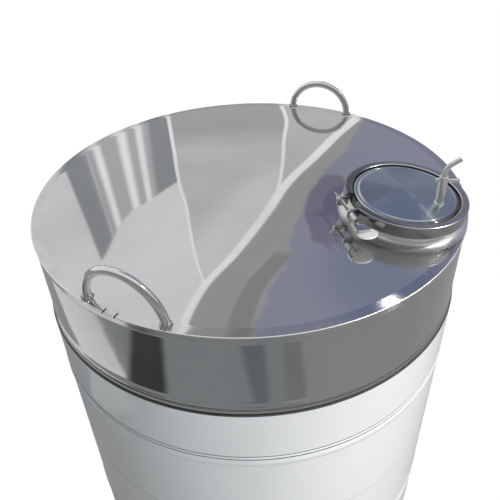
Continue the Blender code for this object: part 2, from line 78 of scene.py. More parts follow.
def add_piece(name, points, finish, body, nodes, around=True, along=True, capped=False):
    """Mesh on a grid of points[row, column], with a face between each four neighbours.

    The columns close on themselves where around is true, and the rows where along is.
    capped closes the two open ends, the first and last column, or the first and last row.
    """
    rows, columns = points.shape[:2]
    index = np.arange(rows * columns).reshape(rows, columns)
    faces = []
    if capped and not around:
        faces += [index[:, 0].tolist(), index[:, -1].tolist()]
    if capped and not along:
        faces += [index[0].tolist(), index[-1].tolist()]
    if around:
        index = np.concatenate([index, index[:, :1]], axis=1)
    if along:
        index = np.concatenate([index, index[:1]], axis=0)
    quads = np.stack([index[:-1, :-1], index[:-1, 1:], index[1:, 1:], index[1:, :-1]], axis=-1)
    faces += quads.reshape(-1, 4).tolist()
    mesh = bpy.data.meshes.new(name)
    mesh.from_pydata(points.reshape(-1, 3).tolist(), [], faces)
    shell = bmesh.new()
    shell.from_mesh(mesh)
    bmesh.ops.remove_doubles(shell, verts=shell.verts, dist=1e-6)
    bmesh.ops.recalc_face_normals(shell, faces=shell.faces)
    if shell.calc_volume(signed=True) < 0.0:
        bmesh.ops.reverse_faces(shell, faces=shell.faces)
    shell.to_mesh(mesh)
    shell.free()
    mesh.shade_smooth()
    mesh.set_sharp_from_angle(angle=math.radians(40.0))
    mesh.materials.append(finish)
    piece = bpy.data.objects.new(name, mesh)
    bpy.context.scene.collection.objects.link(piece)
    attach(piece, body)
    if nodes:
        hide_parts(*nodes)
    return piece


def turned(outline, columns=192, start=0.0, sweep=2.0 * math.pi):
    """Grid of an outline turned about Z: (radius cos a, radius sin a, height) for each angle a."""
    outline = np.asarray(outline, dtype=float)
    whole = abs(sweep - 2.0 * math.pi) < 1e-9
    angle = start + sweep * np.arange(columns) / (columns if whole else columns - 1)
    radius, height = outline[:, :1], outline[:, 1:]
    across = radius * np.cos(angle)
    side = radius * np.sin(angle)
    return np.stack([across, side, height + 0.0 * across], axis=-1)


def placed(points, place):
    """Points moved by a 4 by 4 matrix: its turn, and then its shift."""
    return points @ place[:3, :3].T + place[:3, 3]


def shift(x, y, z):
    """Matrix that moves by (x, y, z)."""
    place = np.eye(4)
    place[:3, 3] = (x, y, z)
    return place


def math_node(tree, operation, *values):
    """One Math node. A value is a number or another node's socket."""
    node = tree.nodes.new("ShaderNodeMath")
    node.operation = operation
    for socket, value in zip(node.inputs, values):
        if isinstance(value, (int, float)):
            socket.default_value = value
        else:
            tree.links.new(value, socket)
    return node.outputs[0]


def noise(tree, vector, scale, detail=3.0, roughness=0.5):
    """Value of a Noise Texture at a vector."""
    node = tree.nodes.new("ShaderNodeTexNoise")
    node.inputs["Scale"].default_value = scale
    node.inputs["Detail"].default_value = detail
    node.inputs["Roughness"].default_value = roughness
    tree.links.new(vector, node.inputs["Vector"])
    return node.outputs["Fac"]


def between(tree, value, low, high, to_low=0.0, to_high=1.0):
    """Value eased from to_low at low to to_high at high, and held outside them."""
    node = tree.nodes.new("ShaderNodeMapRange")
    node.interpolation_type = "SMOOTHSTEP"
    tree.links.new(value, node.inputs["Value"])
    for name, number in (("From Min", low), ("From Max", high), ("To Min", to_low), ("To Max", to_high)):
        node.inputs[name].default_value = number
    return node.outputs["Result"]


def mixed(tree, factor, first, second):
    """Colour between two colours. Each is a socket or (red, green, blue)."""
    node = tree.nodes.new("ShaderNodeMix")
    node.data_type = "RGBA"
    if isinstance(factor, float):
        node.inputs["Factor"].default_value = factor
    else:
        tree.links.new(factor, node.inputs["Factor"])
    for socket, colour in ((node.inputs[6], first), (node.inputs[7], second)):
        if isinstance(colour, tuple):
            socket.default_value = (*colour, 1.0)
        else:
            tree.links.new(colour, socket)
    return node.outputs[2]


def new_finish(name):
    """Empty material with a Principled BSDF. Returns it, its tree, its shader and its object vector."""
    made = bpy.data.materials.new(name)
    made.use_nodes = True
    tree = made.node_tree
    vector = tree.nodes.new("ShaderNodeTexCoord").outputs["Object"]
    return made, tree, tree.nodes["Principled BSDF"], vector


def bumped(tree, shader, height, distance, strength=1.0):
    """Feed a height in metres, scaled by a distance, to the shader's normal."""
    bump = tree.nodes.new("ShaderNodeBump")
    bump.inputs["Distance"].default_value = distance
    bump.inputs["Strength"].default_value = strength
    tree.links.new(height, bump.inputs["Height"])
    tree.links.new(bump.outputs["Normal"], shader.inputs["Normal"])


rubber, tree, shader, vector = new_finish("foot_rubber")
scuff = between(tree, noise(tree, vector, 90.0), 0.45, 0.7)
tree.links.new(mixed(tree, scuff, (0.018, 0.018, 0.019), (0.05, 0.05, 0.048)), shader.inputs["Base Color"])
tree.links.new(between(tree, scuff, 0.0, 1.0, 0.55, 0.8), shader.inputs["Roughness"])
bumped(tree, shader, noise(tree, vector, 900.0), 0.0001)

foot_outline = rounded([(0.0, 0.0), (FOOT_RADIUS, 0.0), (FOOT_RADIUS, 0.0055), (0.024, 0.0120),
                        (0.010, 0.0140), (FOOT_STEM, 0.0160), (FOOT_STEM, FOOT_TOP), (0.0, FOOT_TOP)], 0.0015)
leg_centres = {}
for place_name, degrees in LEG_AZIMUTHS.items():
    azimuth = math.radians(degrees)
    centre = (LEG_CIRCLE * math.cos(azimuth), LEG_CIRCLE * math.sin(azimuth))
    leg_centres[place_name] = centre
    node = f"foot_{place_name}"
    foot = add_piece(f"pad_{place_name}", placed(turned(foot_outline, 64), shift(*centre, 0.0)),
                     rubber, "tank", [node])


# Legs: straight polished tubes, cut to the bottom's slope and welded to it.
LEG_RADIUS = 0.0212
LEG_WALL = 0.0020
LEG_LOW = 0.0400
RIM_HEIGHT = 1.250
RIM_RADIUS = 0.400
END_FLAT = 0.0175
SEAM_DEPTH = 0.4832
BOTTOM_SLOPE = math.radians(8.0)
STEEL = (0.62, 0.62, 0.625)


def bottom_height(radius):
    """Height of the bottom's underside: a cone that starts at the flat edge."""
    fall = np.maximum(0.0, RIM_RADIUS - END_FLAT - radius) * math.tan(BOTTOM_SLOPE)
    return RIM_HEIGHT - 2.0 * SEAM_DEPTH - fall


def handling_group():
    """Node group of handling marks: a cloudy film of dust and grease, and short fine scratches."""
    group = bpy.data.node_groups.new("handling_marks", "ShaderNodeTree")
    group.interface.new_socket("Vector", in_out="INPUT", socket_type="NodeSocketVector")
    scale = group.interface.new_socket("Scale", in_out="INPUT", socket_type="NodeSocketFloat")
    scale.default_value = 6.0
    group.interface.new_socket("Film", in_out="OUTPUT", socket_type="NodeSocketFloat")
    group.interface.new_socket("Scratches", in_out="OUTPUT", socket_type="NodeSocketFloat")
    entry = group.nodes.new("NodeGroupInput")
    leave = group.nodes.new("NodeGroupOutput")
    cloud = group.nodes.new("ShaderNodeTexNoise")
    cloud.inputs["Detail"].default_value = 6.0
    cloud.inputs["Roughness"].default_value = 0.6
    group.links.new(entry.outputs["Vector"], cloud.inputs["Vector"])
    group.links.new(entry.outputs["Scale"], cloud.inputs["Scale"])
    group.links.new(between(group, cloud.outputs["Fac"], 0.35, 0.75), leave.inputs["Film"])
    stretch = group.nodes.new("ShaderNodeMapping")
    stretch.inputs["Scale"].default_value = (14.0, 320.0, 320.0)
    stretch.inputs["Rotation"].default_value = (0.0, 0.0, 0.05)
    group.links.new(entry.outputs["Vector"], stretch.inputs["Vector"])
    lines = noise(group, stretch.outputs["Vector"], 1.0, 2.0, 0.5)
    group.links.new(between(group, lines, 0.55, 0.8), leave.inputs["Scratches"])
    return group


handling_marks = handling_group()


def steel_finish(name, colour, roughness, film_scale=6.0, film_rise=0.05, dust=0.04, scratch=0.00002,
                 metallic=1.0):
    """Steel whose film of dust dulls it in clouds, over fine scratches."""
    made, tree, shader, vector = new_finish(name)
    marks = tree.nodes.new("ShaderNodeGroup")
    marks.node_tree = handling_marks
    marks.inputs["Scale"].default_value = film_scale
    tree.links.new(vector, marks.inputs["Vector"])
    film = marks.outputs["Film"]
    dull = tuple(0.88 * part for part in colour)
    tree.links.new(mixed(tree, film, colour, dull), shader.inputs["Base Color"])
    tree.links.new(between(tree, film, 0.0, 1.0, roughness, roughness + film_rise), shader.inputs["Roughness"])
    tree.links.new(between(tree, film, 0.0, 1.0, metallic, metallic - dust), shader.inputs["Metallic"])
    bumped(tree, shader, marks.outputs["Scratches"], scratch)
    return made, tree, shader, vector


polished = steel_finish("polished_steel", STEEL, 0.05)[0]
for place_name, (x, y) in leg_centres.items():
    angle = 2.0 * math.pi * np.arange(64) / 64
    outer = np.stack([x + LEG_RADIUS * np.cos(angle), y + LEG_RADIUS * np.sin(angle)], axis=-1)
    inner = np.stack([x + (LEG_RADIUS - LEG_WALL) * np.cos(angle), y + (LEG_RADIUS - LEG_WALL) * np.sin(angle)],
                     axis=-1)
    rows = []
    for ring, share in ((outer, 0.0), (outer, 0.02), (outer, 0.5), (outer, 0.98), (outer, 1.0),
                        (inner, 1.0), (inner, 0.5), (inner, 0.0)):
        top = bottom_height(np.hypot(ring[:, 0], ring[:, 1])) - 0.0003
        rows.append(np.column_stack([ring, LEG_LOW + share * (top - LEG_LOW)]))
    leg = add_piece(f"tube_{place_name}", np.array(rows), polished, "tank", [f"leg_{place_name}"])


# Bottom and outlet: a spun cone with a flat edge and a skirt, falling to a short bored stub.
SHEET = 0.002
SKIRT_DEPTH = 0.0155
SKIRT_RADIUS = 0.3980
INNER_RADIUS = 0.3960
OUTLET_RADIUS = 0.0300
OUTLET_BORE = 0.0250
OUTLET_LENGTH = 0.060
OUTLET_RIM = 0.0380

edge_height = RIM_HEIGHT - 2.0 * SEAM_DEPTH
outlet_hole = OUTLET_RADIUS + 0.0003
hole_height = float(bottom_height(outlet_hole))
bottom_outline = rounded([
    (outlet_hole, hole_height), (RIM_RADIUS - END_FLAT, edge_height), (RIM_RADIUS, edge_height),
    (SKIRT_RADIUS, edge_height + SKIRT_DEPTH), (INNER_RADIUS, edge_height + SKIRT_DEPTH),
    (INNER_RADIUS, edge_height + SHEET), (RIM_RADIUS - END_FLAT, edge_height + SHEET),
    (outlet_hole, hole_height + SHEET)], 0.0008)
bottom = add_piece("bottom_end", turned(bottom_outline), polished, "tank", ["bottom"])

stub_top = hole_height + SHEET
stub_low = stub_top - OUTLET_LENGTH
stub_outline = rounded([
    (OUTLET_RADIUS, stub_top), (OUTLET_RADIUS, stub_low + 0.008), (OUTLET_RIM, stub_low + 0.004),
    (OUTLET_RIM, stub_low), (OUTLET_BORE, stub_low), (OUTLET_BORE, stub_top)], 0.0008)
stub = add_piece("outlet_pipe", turned(stub_outline, 96), polished, "tank", ["outlet_stub"])


# Wall courses: bright steel bands above and below, white coated sheet between them. Each course
# carries a rolled bead between two fine grooves, and a low swelling beside it.
BAND_RADIUS = 0.3980
WALL_RADIUS = 0.4020
BAND_DEPTH = 0.1656
RIB_DEPTH = 0.2792
COURSE_GAP = 0.0003
BEAD_HALF = 0.0033
BEAD_RISE = 0.0012
GROOVE_HALF = 0.0007
GROOVE_DEPTH = 0.0008
SWELL_HALF = 0.0105
SWELL_RISE = 0.0015
SWELL_STEP = BEAD_HALF + SWELL_HALF + 0.0006
QUARTERS = ("front", "right", "back", "left")


def hump(depth, middle, half, rise):
    """Rise of a rounded hump: rise (1 + cos(pi x / half)) / 2 within half of its middle."""
    x = np.clip((depth - middle) / half, -1.0, 1.0)
    return rise * 0.5 * (1.0 + np.cos(math.pi * x))


def course(radius, top, low, bead, swell, mirrored):
    """Closed outline of one course, its outer side a plain line with bead, grooves and swelling."""
    fine = bead + np.linspace(-1.6, 1.6, 45) * (BEAD_HALF + GROOVE_HALF)
    broad = swell + np.linspace(-1.0, 1.0, 25) * SWELL_HALF
    edge = 0.0004 * np.array([0.0, 1.0, 2.0, 5.0])
    depth = np.concatenate([np.linspace(top, low, 24), fine, broad, top + edge, low - edge])
    depth = np.unique(np.round(depth[(depth >= top) & (depth <= low)], 7))
    outer = radius + hump(depth, bead, BEAD_HALF, BEAD_RISE) + hump(depth, swell, SWELL_HALF, SWELL_RISE)
    for side in (-1.0, 1.0):
        outer = outer - hump(depth, bead + side * (BEAD_HALF + GROOVE_HALF), GROOVE_HALF, GROOVE_DEPTH)
    from_edge = np.minimum(depth - top, low - depth)
    outer = outer - 0.0006 * np.clip(1.0 - from_edge / 0.0008, 0.0, 1.0) ** 2
    outline = np.column_stack([outer, depth])
    outline = np.concatenate([outline, [(INNER_RADIUS, low), (INNER_RADIUS, top)]])
    if mirrored:
        outline[:, 1] = 2.0 * SEAM_DEPTH - outline[:, 1]
    outline[:, 1] = RIM_HEIGHT - outline[:, 1]
    return outline


def painted_groove_shade(tree, vector):
    """1 where shade is painted: dark lines in the grooves beside the beads, and a fainter dark line along the seam at
    mid height.
    """
    split = tree.nodes.new("ShaderNodeSeparateXYZ")
    tree.links.new(vector, split.inputs["Vector"])
    above_seam = math_node(tree, "SUBTRACT", split.outputs["Z"], RIM_HEIGHT - SEAM_DEPTH)
    from_seam = math_node(tree, "ABSOLUTE", above_seam)
    dark_lines = between(tree, from_seam, 0.0005, 0.0012, 0.55, 0.0)
    for bead, half_line in ((BAND_DEPTH, 0.0009), (RIB_DEPTH, 0.0014)):
        from_bead = math_node(tree, "ABSOLUTE", math_node(tree, "SUBTRACT", from_seam, SEAM_DEPTH - bead))
        from_groove = math_node(tree, "SUBTRACT", from_bead, BEAD_HALF + GROOVE_HALF)
        line = between(tree, math_node(tree, "ABSOLUTE", from_groove), 0.4 * half_line, half_line, 0.92, 0.0)
        dark_lines = math_node(tree, "MAXIMUM", dark_lines, line)
    return dark_lines


def overlaid(tree, socket, factor, colour):
    """Lay a colour over what feeds a socket."""
    under = socket.links[0].from_socket
    tree.links.new(mixed(tree, factor, under, colour), socket)


# Near-black of the painted shade in the grooves beside the beads.
GROOVE_SHADE_COLOUR = (0.035, 0.042, 0.045)
white, tree, shader, vector = new_finish("white_coat")
marks = tree.nodes.new("ShaderNodeGroup")
marks.node_tree = handling_marks
marks.inputs["Scale"].default_value = 3.0
tree.links.new(vector, marks.inputs["Vector"])
tree.links.new(mixed(tree, marks.outputs["Film"], (0.84, 0.85, 0.86), (0.80, 0.81, 0.82)), shader.inputs["Base Color"])
# The grooves beside the beads are painted dark on the white coat: painted shade.
overlaid(tree, shader.inputs["Base Color"], painted_groove_shade(tree, vector), GROOVE_SHADE_COLOUR)
tree.links.new(between(tree, marks.outputs["Film"], 0.0, 1.0, 0.30, 0.38), shader.inputs["Roughness"])
shader.inputs["Coat Weight"].default_value = 0.6
shader.inputs["Coat Roughness"].default_value = 0.04
bumped(tree, shader, noise(tree, vector, 9.0, 1.0), 0.0008)

band_steel, tree, shader, vector = steel_finish("band_steel", STEEL, 0.05)
# The grooves beside the band's bead are painted dark: painted shade.
overlaid(tree, shader.inputs["Base Color"], painted_groove_shade(tree, vector), GROOVE_SHADE_COLOUR)
band_end = BAND_DEPTH + BEAD_HALF + COURSE_GAP
for level, mirrored in (("upper", False), ("lower", True)):
    band_outline = course(BAND_RADIUS, SKIRT_DEPTH + COURSE_GAP, band_end, BAND_DEPTH,
                          BAND_DEPTH - SWELL_STEP, mirrored)
    band = add_piece(f"{level}_steel_band", turned(band_outline, 256), band_steel, "tank",
                     [f"{level}_band_{quarter}" for quarter in QUARTERS])
    wall_outline = course(WALL_RADIUS, band_end + COURSE_GAP, SEAM_DEPTH - COURSE_GAP / 2.0, RIB_DEPTH,
                          RIB_DEPTH + SWELL_STEP, mirrored)
    wall = add_piece(f"{level}_white_wall", turned(wall_outline, 256), white, "tank",
                     [f"{level}_wall_{quarter}" for quarter in QUARTERS])


# Roof: one spun sheet, a shallow dome that runs into a flat edge and a short skirt, polished to a
# mirror. Its off-centre hole takes the hatch neck. The sheet is ground dull beside the neck's weld, and
# the edge is rubbed dull at one spot in front.
EDGE_FALL = 0.0015
ROOF_RISE = 0.02208
ROOF_FLAT = RIM_RADIUS - END_FLAT
HATCH_X = 0.2623
HATCH_Y = -0.1236
NECK_RADIUS = 0.0915
ROOF_COLUMNS = 360


def roof_height(x, y):
    """Height of the roof: RIM_HEIGHT + rise (1 - (r / flat)^2), and level on the flat edge."""
    share = np.minimum(1.0, np.hypot(x, y) / ROOF_FLAT)
    return RIM_HEIGHT + ROOF_RISE * (1.0 - share * share)


def hatch_matrix():
    """The hatch's frame: on the roof, Z square to its slope, X down the slope."""
    azimuth = math.atan2(HATCH_Y, HATCH_X)
    distance = math.hypot(HATCH_X, HATCH_Y)
    slope = math.atan(2.0 * ROOF_RISE * distance / ROOF_FLAT ** 2)
    down = (math.cos(azimuth) * math.cos(slope), math.sin(azimuth) * math.cos(slope), -math.sin(slope))
    side = (-math.sin(azimuth), math.cos(azimuth), 0.0)
    place = np.eye(4)
    place[:3, :3] = np.column_stack([down, side, np.cross(down, side)])
    place[:3, 3] = (HATCH_X, HATCH_Y, roof_height(HATCH_X, HATCH_Y))
    return place


hatch = hatch_matrix()


def on_roof(radius, angle):
    """Points in the hatch's frame that stand on the roof, found by stepping their height three times."""
    local = np.stack([radius * np.cos(angle), radius * np.sin(angle), 0.0 * radius * angle], axis=-1)
    for _ in range(3):
        world = placed(local, hatch)
        local[..., 2] += roof_height(world[..., 0], world[..., 1]) - world[..., 2]
    return local


turn = 2.0 * math.pi * np.arange(ROOF_COLUMNS) / ROOF_COLUMNS
hole_edge = placed(on_roof((NECK_RADIUS + 0.0003) * np.ones_like(turn), turn), hatch)[:, :2]
flat_edge = ROOF_FLAT * np.stack([np.cos(turn), np.sin(turn)], axis=-1)
share = np.linspace(0.0, 1.0, 110)[:, None, None]
plan = (1.0 - share) * hole_edge + share * flat_edge
crown = np.dstack([plan, roof_height(plan[..., 0], plan[..., 1])])
fold = RIM_HEIGHT - EDGE_FALL
rim_outline = [(ROOF_FLAT + 0.0006, RIM_HEIGHT - 0.00005), (0.3905, RIM_HEIGHT - 0.0008), (0.3975, fold),
               (0.3984, fold - 0.00012), (0.39915, fold - 0.00032), (0.3997, fold - 0.00070),
               (RIM_RADIUS, fold - 0.0013), (0.39995, fold - 0.0021), (0.3998, fold - 0.0031),
               (0.3992, RIM_HEIGHT - 0.0100), (0.3986, RIM_HEIGHT - SKIRT_DEPTH + 0.0006),
               (SKIRT_RADIUS - 0.0004, RIM_HEIGHT - SKIRT_DEPTH), (INNER_RADIUS, RIM_HEIGHT - SKIRT_DEPTH),
               (INNER_RADIUS, RIM_HEIGHT - SHEET)]
rim = turned(rim_outline, ROOF_COLUMNS)
under = crown[::-1] - np.array([0.0, 0.0, SHEET])

roof_steel, tree, shader, vector = steel_finish("roof_steel", STEEL, 0.025, film_scale=2.5, film_rise=0.02,
                                                 dust=0.06, scratch=0.000002, metallic=0.90)
ground = tree.nodes.new("ShaderNodeVectorMath")
ground.operation = "DISTANCE"
tree.links.new(vector, ground.inputs[0])
ground.inputs[1].default_value = (HATCH_X + 0.030, HATCH_Y - 0.035, RIM_HEIGHT + 0.01)
from_weld = math_node(tree, "MULTIPLY_ADD", noise(tree, vector, 40.0), 0.03, ground.outputs["Value"])
dulled = between(tree, from_weld, 0.130, 0.175, 0.20, 0.0)
smooth = shader.inputs["Roughness"].links[0].from_socket
tree.links.new(math_node(tree, "ADD", smooth, dulled), shader.inputs["Roughness"])
edge_steel, tree, shader, vector = steel_finish("edge_steel", (0.61, 0.61, 0.615), 0.06, film_scale=30.0,
                                                 scratch=0.000005)
rub = tree.nodes.new("ShaderNodeVectorMath")
rub.operation = "DISTANCE"
tree.links.new(vector, rub.inputs[0])
rub.inputs[1].default_value = (0.1975, -0.3430, RIM_HEIGHT)
grain = math_node(tree, "MULTIPLY_ADD", noise(tree, vector, 260.0), 0.02, rub.outputs["Value"])
tree.links.new(between(tree, grain, 0.002, 0.048, 0.42, 0.07), shader.inputs["Roughness"])
shader.inputs["Anisotropic"].default_value = 1.0
shader.inputs["Anisotropic Rotation"].default_value = 0.25
# The rim's rounded fold is a paler, rougher steel: a painted highlight that draws a bright line round the rim.
fold_highlight_steel = steel_finish("fold_highlight_steel", (0.84, 0.84, 0.84), 0.34, film_scale=30.0)[0]
roof = add_piece("domed_roof", np.concatenate([crown, rim, under]), roof_steel, "tank", ["roof"])
roof.data.materials.append(edge_steel)
roof.data.materials.append(fold_highlight_steel)
middles = np.empty(3 * len(roof.data.polygons))
roof.data.polygons.foreach_get("center", middles)
middles = middles.reshape(-1, 3)
from_axis = np.hypot(middles[:, 0], middles[:, 1])
on_edge = (from_axis > ROOF_FLAT) & (middles[:, 2] > RIM_HEIGHT - SKIRT_DEPTH)
on_fold = (from_axis > 0.3984) & (middles[:, 2] > fold - 0.0016)
roof.data.polygons.foreach_set("material_index", on_edge.astype(np.int32) + on_fold)


# Handles: round bars bent to half rings, welded on the flat edge with a bead round each foot.
HANDLE_BAR = 0.0070
HANDLE_CIRCLE = 0.3890
HANDLE_LEAN = math.radians(4.0)
HANDLES = {
    "handle_front": {"azimuth": -118.6, "half_span": 0.0700, "rise": 0.0740},
    "handle_rear": {"azimuth": 62.6, "half_span": 0.0665, "rise": 0.0600},
}
WELD_RADIUS = 0.0088
WELD_HEIGHT = 0.0042


def bar(path, radius, sides=32):
    """Grid of a round bar: a circle of the radius set square to the path at each of its points."""
    tangent = np.gradient(path, axis=0)
    tangent /= np.linalg.norm(tangent, axis=1, keepdims=True)
    normal = np.cross(path[1] - path[0], path[len(path) // 2] - path[0])
    if np.linalg.norm(normal) < 1e-9:
        normal = np.cross(path[1] - path[0], (0.3, 1.0, 0.2))
    normal /= np.linalg.norm(normal)
    across = np.cross(tangent, normal)
    angle = 2.0 * math.pi * np.arange(sides) / sides
    radius = np.broadcast_to(radius, len(path))[:, None, None]
    ring = np.cos(angle)[None, :, None] * normal + np.sin(angle)[None, :, None] * across[:, None, :]
    return path[:, None, :] + radius * ring


handle_steel = steel_finish("handle_steel", (0.74, 0.74, 0.75), 0.05, film_scale=40.0, scratch=0.00001)[0]
weld_steel, tree, shader, vector = steel_finish("weld_steel", (0.55, 0.54, 0.53), 0.18, film_scale=120.0)
bumped(tree, shader, noise(tree, vector, 500.0), 0.0006)
for name, size in HANDLES.items():
    azimuth = math.radians(size["azimuth"])
    out = np.array([math.cos(azimuth), math.sin(azimuth), 0.0])
    side = np.array([-math.sin(azimuth), math.cos(azimuth), 0.0])
    up = math.cos(HANDLE_LEAN) * np.array([0.0, 0.0, 1.0]) + math.sin(HANDLE_LEAN) * out
    foot_distance = math.sqrt(HANDLE_CIRCLE ** 2 - size["half_span"] ** 2)
    base = foot_distance * out + np.array([0.0, 0.0, RIM_HEIGHT + 0.0003])
    t = np.linspace(0.0, math.pi, 73)[:, None]
    path = base + size["half_span"] * np.cos(t) * side + size["rise"] * np.sin(t) * up
    points = bar(path, HANDLE_BAR)
    points[[0, -1], :, 2] = RIM_HEIGHT + 0.0003
    handle = add_piece(f"{name}_bar", points, handle_steel, "tank", [name], along=False, capped=True)
    for label, end in (("left", 1.0), ("right", -1.0)):
        angle = 2.0 * math.pi * np.arange(96) / 96
        lumps = 1.0 + 0.07 * np.sin(7.0 * angle + end) + 0.05 * np.sin(17.0 * angle)
        bead = turned([(0.0066, -0.0011), (WELD_RADIUS + 0.001, -0.0011), (WELD_RADIUS + 0.0006, 0.0012),
                       (WELD_RADIUS - 0.0004, 0.0026), (0.0074, WELD_HEIGHT), (0.0062, WELD_HEIGHT)], 96)
        bead[1:5, :, :2] *= lumps[None, :, None]
        spot = base + end * size["half_span"] * side
        weld = add_piece(f"{name}_weld_{label}", placed(bead, shift(spot[0], spot[1], RIM_HEIGHT + 0.0001)),
                         weld_steel, "tank", [])


# Pen ticks: two short strokes of a felt pen across the rim beside the front handle, left from
# marking out. Thin ink films that lie on the flat edge and fold over onto the skirt.
TICK_AZIMUTHS = (-122.9, -119.7)
TICK_WIDTH = 0.0026
# The same near-black material also fills the rivet's bore as painted shade.
ink_and_bore_shade, tree, shader, vector = new_finish("pen_ink_and_bore_shade")
patchy = between(tree, noise(tree, vector, 700.0), 0.35, 0.65)
tree.links.new(mixed(tree, patchy, (0.006, 0.006, 0.007), (0.03, 0.03, 0.032)), shader.inputs["Base Color"])
tree.links.new(between(tree, patchy, 0.0, 1.0, 0.3, 0.6), shader.inputs["Roughness"])
for number, degrees in enumerate(TICK_AZIMUTHS, 1):
    azimuth = math.radians(degrees)
    stroke = np.array([(0.3915, 0.00012), (0.3950, 0.00012), (0.3984, 0.00010), (0.3994, -0.0001), (0.39995, -0.0007),
                       (0.40015, -0.0012), (0.40005, -0.0022), (0.39995, -0.0030)])
    stroke[:, 1] -= EDGE_FALL * np.clip((stroke[:, 0] - ROOF_FLAT) / 0.015, 0.0, 1.0)
    lean = np.linspace(1.0, -1.0, len(stroke)) * 0.0006
    width = TICK_WIDTH * np.array([-0.5, -0.2, 0.2, 0.5])
    angle = azimuth + (lean[:, None] + width[None, :]) / RIM_RADIUS
    top = np.stack([stroke[:, :1] * np.cos(angle), stroke[:, :1] * np.sin(angle),
                    RIM_HEIGHT + stroke[:, 1:] + 0.0 * angle], axis=-1)
    film = np.concatenate([top, (top * np.array([0.9995, 0.9995, 1.0]) - np.array([0.0, 0.0, 0.00008]))[:, ::-1]],
                          axis=1)
    tick = add_piece(f"pen_tick_{number}", film, ink_and_bore_shade, "tank", [], along=False, capped=True)


# Neck: a short pipe through the roof, its foot drawn into the sheet in a soft fillet, its upper
# edge turned out for the clamping ring.
NECK_LOW = -0.0060
NECK_TOP = 0.0245
NECK_FLANGE_RADIUS = 0.0945
FILLET_REACH = 0.0190
FILLET_RISE = 0.0125

turn = 2.0 * math.pi * np.arange(240) / 240
sweep = np.linspace(0.0, 0.5 * math.pi, 16)
rows = []
for angle_out in sweep:
    away = FILLET_REACH * (1.0 - math.sin(angle_out))
    rise = FILLET_RISE * (1.0 - math.cos(angle_out))
    foot_ring = on_roof((NECK_RADIUS + away) * np.ones_like(turn), turn)
    foot_ring[:, 2] += rise + 0.00005
    rows.append(foot_ring)
pipe_outline = [(NECK_RADIUS, 0.0175), (NECK_RADIUS, 0.0212), (0.0917, 0.0220), (0.0922, 0.0224),
                (0.0938, 0.0225), (NECK_FLANGE_RADIUS, 0.0229), (NECK_FLANGE_RADIUS, 0.0241),
                (0.0941, NECK_TOP), (0.0900, NECK_TOP), (0.0895, 0.0241), (0.0895, 0.0100),
                (0.0895, NECK_LOW), (NECK_RADIUS, NECK_LOW)]
rows += list(turned(pipe_outline, 240))
neck_steel = steel_finish("neck_steel", (0.78, 0.78, 0.77), 0.24, film_scale=3.0, dust=0.1, metallic=0.88)[0]
neck = add_piece("neck_pipe", placed(np.array(rows), hatch), neck_steel, "tank", ["hatch_neck"])


# Gasket: a flat black rubber ring between the neck's turned edge and the lid.
gasket_outline = rounded([(0.0900, 0.0248), (0.0945, 0.0248), (0.0945, 0.0282), (0.0900, 0.0282)], 0.0008)
gasket = add_piece("rubber_gasket", placed(turned(gasket_outline), hatch), rubber, "hatch", ["hatch_gasket"])


# Lid: a spun disc, a very flat cone with a small centre mark left by the lathe, a rolled edge and
# a flange that the ring grips. The spinning lines run round its centre.
LID_CENTRE = 0.0455
LID_PLATE_RADIUS = 0.0820
LID_PLATE_TOP = 0.0385
DIMPLE_RADIUS = 0.0028
DIMPLE_DEPTH = 0.0007

spokes = np.concatenate([np.linspace(0.0, 0.004, 12), np.linspace(0.005, 0.079, 40)])
cone = LID_CENTRE - (LID_CENTRE - LID_PLATE_TOP) * spokes / LID_PLATE_RADIUS
cone -= DIMPLE_DEPTH * np.exp(-(spokes / DIMPLE_RADIUS) ** 2 * 2.0)
cone -= 0.0003 * np.exp(-spokes / 0.004)
lid_edge = rounded([(0.0820, 0.03850), (0.0866, 0.03800), (0.0880, 0.0366), (0.0880, 0.0305), (0.0950, 0.0305),
                    (0.0950, 0.0285), (0.0860, 0.0285), (0.0860, 0.0345), (0.0820, 0.0365)], 0.0009)
lid_outline = np.concatenate([np.column_stack([spokes, cone]), lid_edge, [(0.0, LID_CENTRE - 0.0027)]])
spun_steel, tree, shader, vector = new_finish("spun_steel")
centred = tree.nodes.new("ShaderNodeMapping")
centred.inputs["Location"].default_value = (-HATCH_X, -HATCH_Y, 0.0)
tree.links.new(vector, centred.inputs["Vector"])
flat = tree.nodes.new("ShaderNodeVectorMath")
flat.operation = "MULTIPLY"
flat.inputs[1].default_value = (1.0, 1.0, 0.0)
tree.links.new(centred.outputs["Vector"], flat.inputs[0])
reach = tree.nodes.new("ShaderNodeVectorMath")
reach.operation = "LENGTH"
tree.links.new(flat.outputs[0], reach.inputs[0])
rings = tree.nodes.new("ShaderNodeCombineXYZ")
tree.links.new(reach.outputs["Value"], rings.inputs["X"])
groove = noise(tree, rings.outputs["Vector"], 1400.0, 3.0, 0.7)
cloud = noise(tree, vector, 14.0, 4.0)
plate_colour = mixed(tree, between(tree, cloud, 0.35, 0.7), (0.52, 0.59, 0.61), (0.43, 0.50, 0.53))
# The lid's edge under the ring's lip is painted dark: painted shade.
lid_edge_shade = between(tree, reach.outputs["Value"], 0.0854, 0.0864)
tree.links.new(mixed(tree, lid_edge_shade, plate_colour, (0.22, 0.225, 0.23)), shader.inputs["Base Color"])
tree.links.new(between(tree, cloud, 0.3, 0.7, 0.11, 0.15), shader.inputs["Roughness"])
shader.inputs["Metallic"].default_value = 1.0
shader.inputs["Anisotropic"].default_value = 1.0
shader.inputs["Anisotropic Rotation"].default_value = 0.25
bumped(tree, shader, groove, 0.000012)
lid = add_piece("spun_lid", placed(turned(lid_outline, 256), hatch), spun_steel, "hatch", ["hatch_lid"])


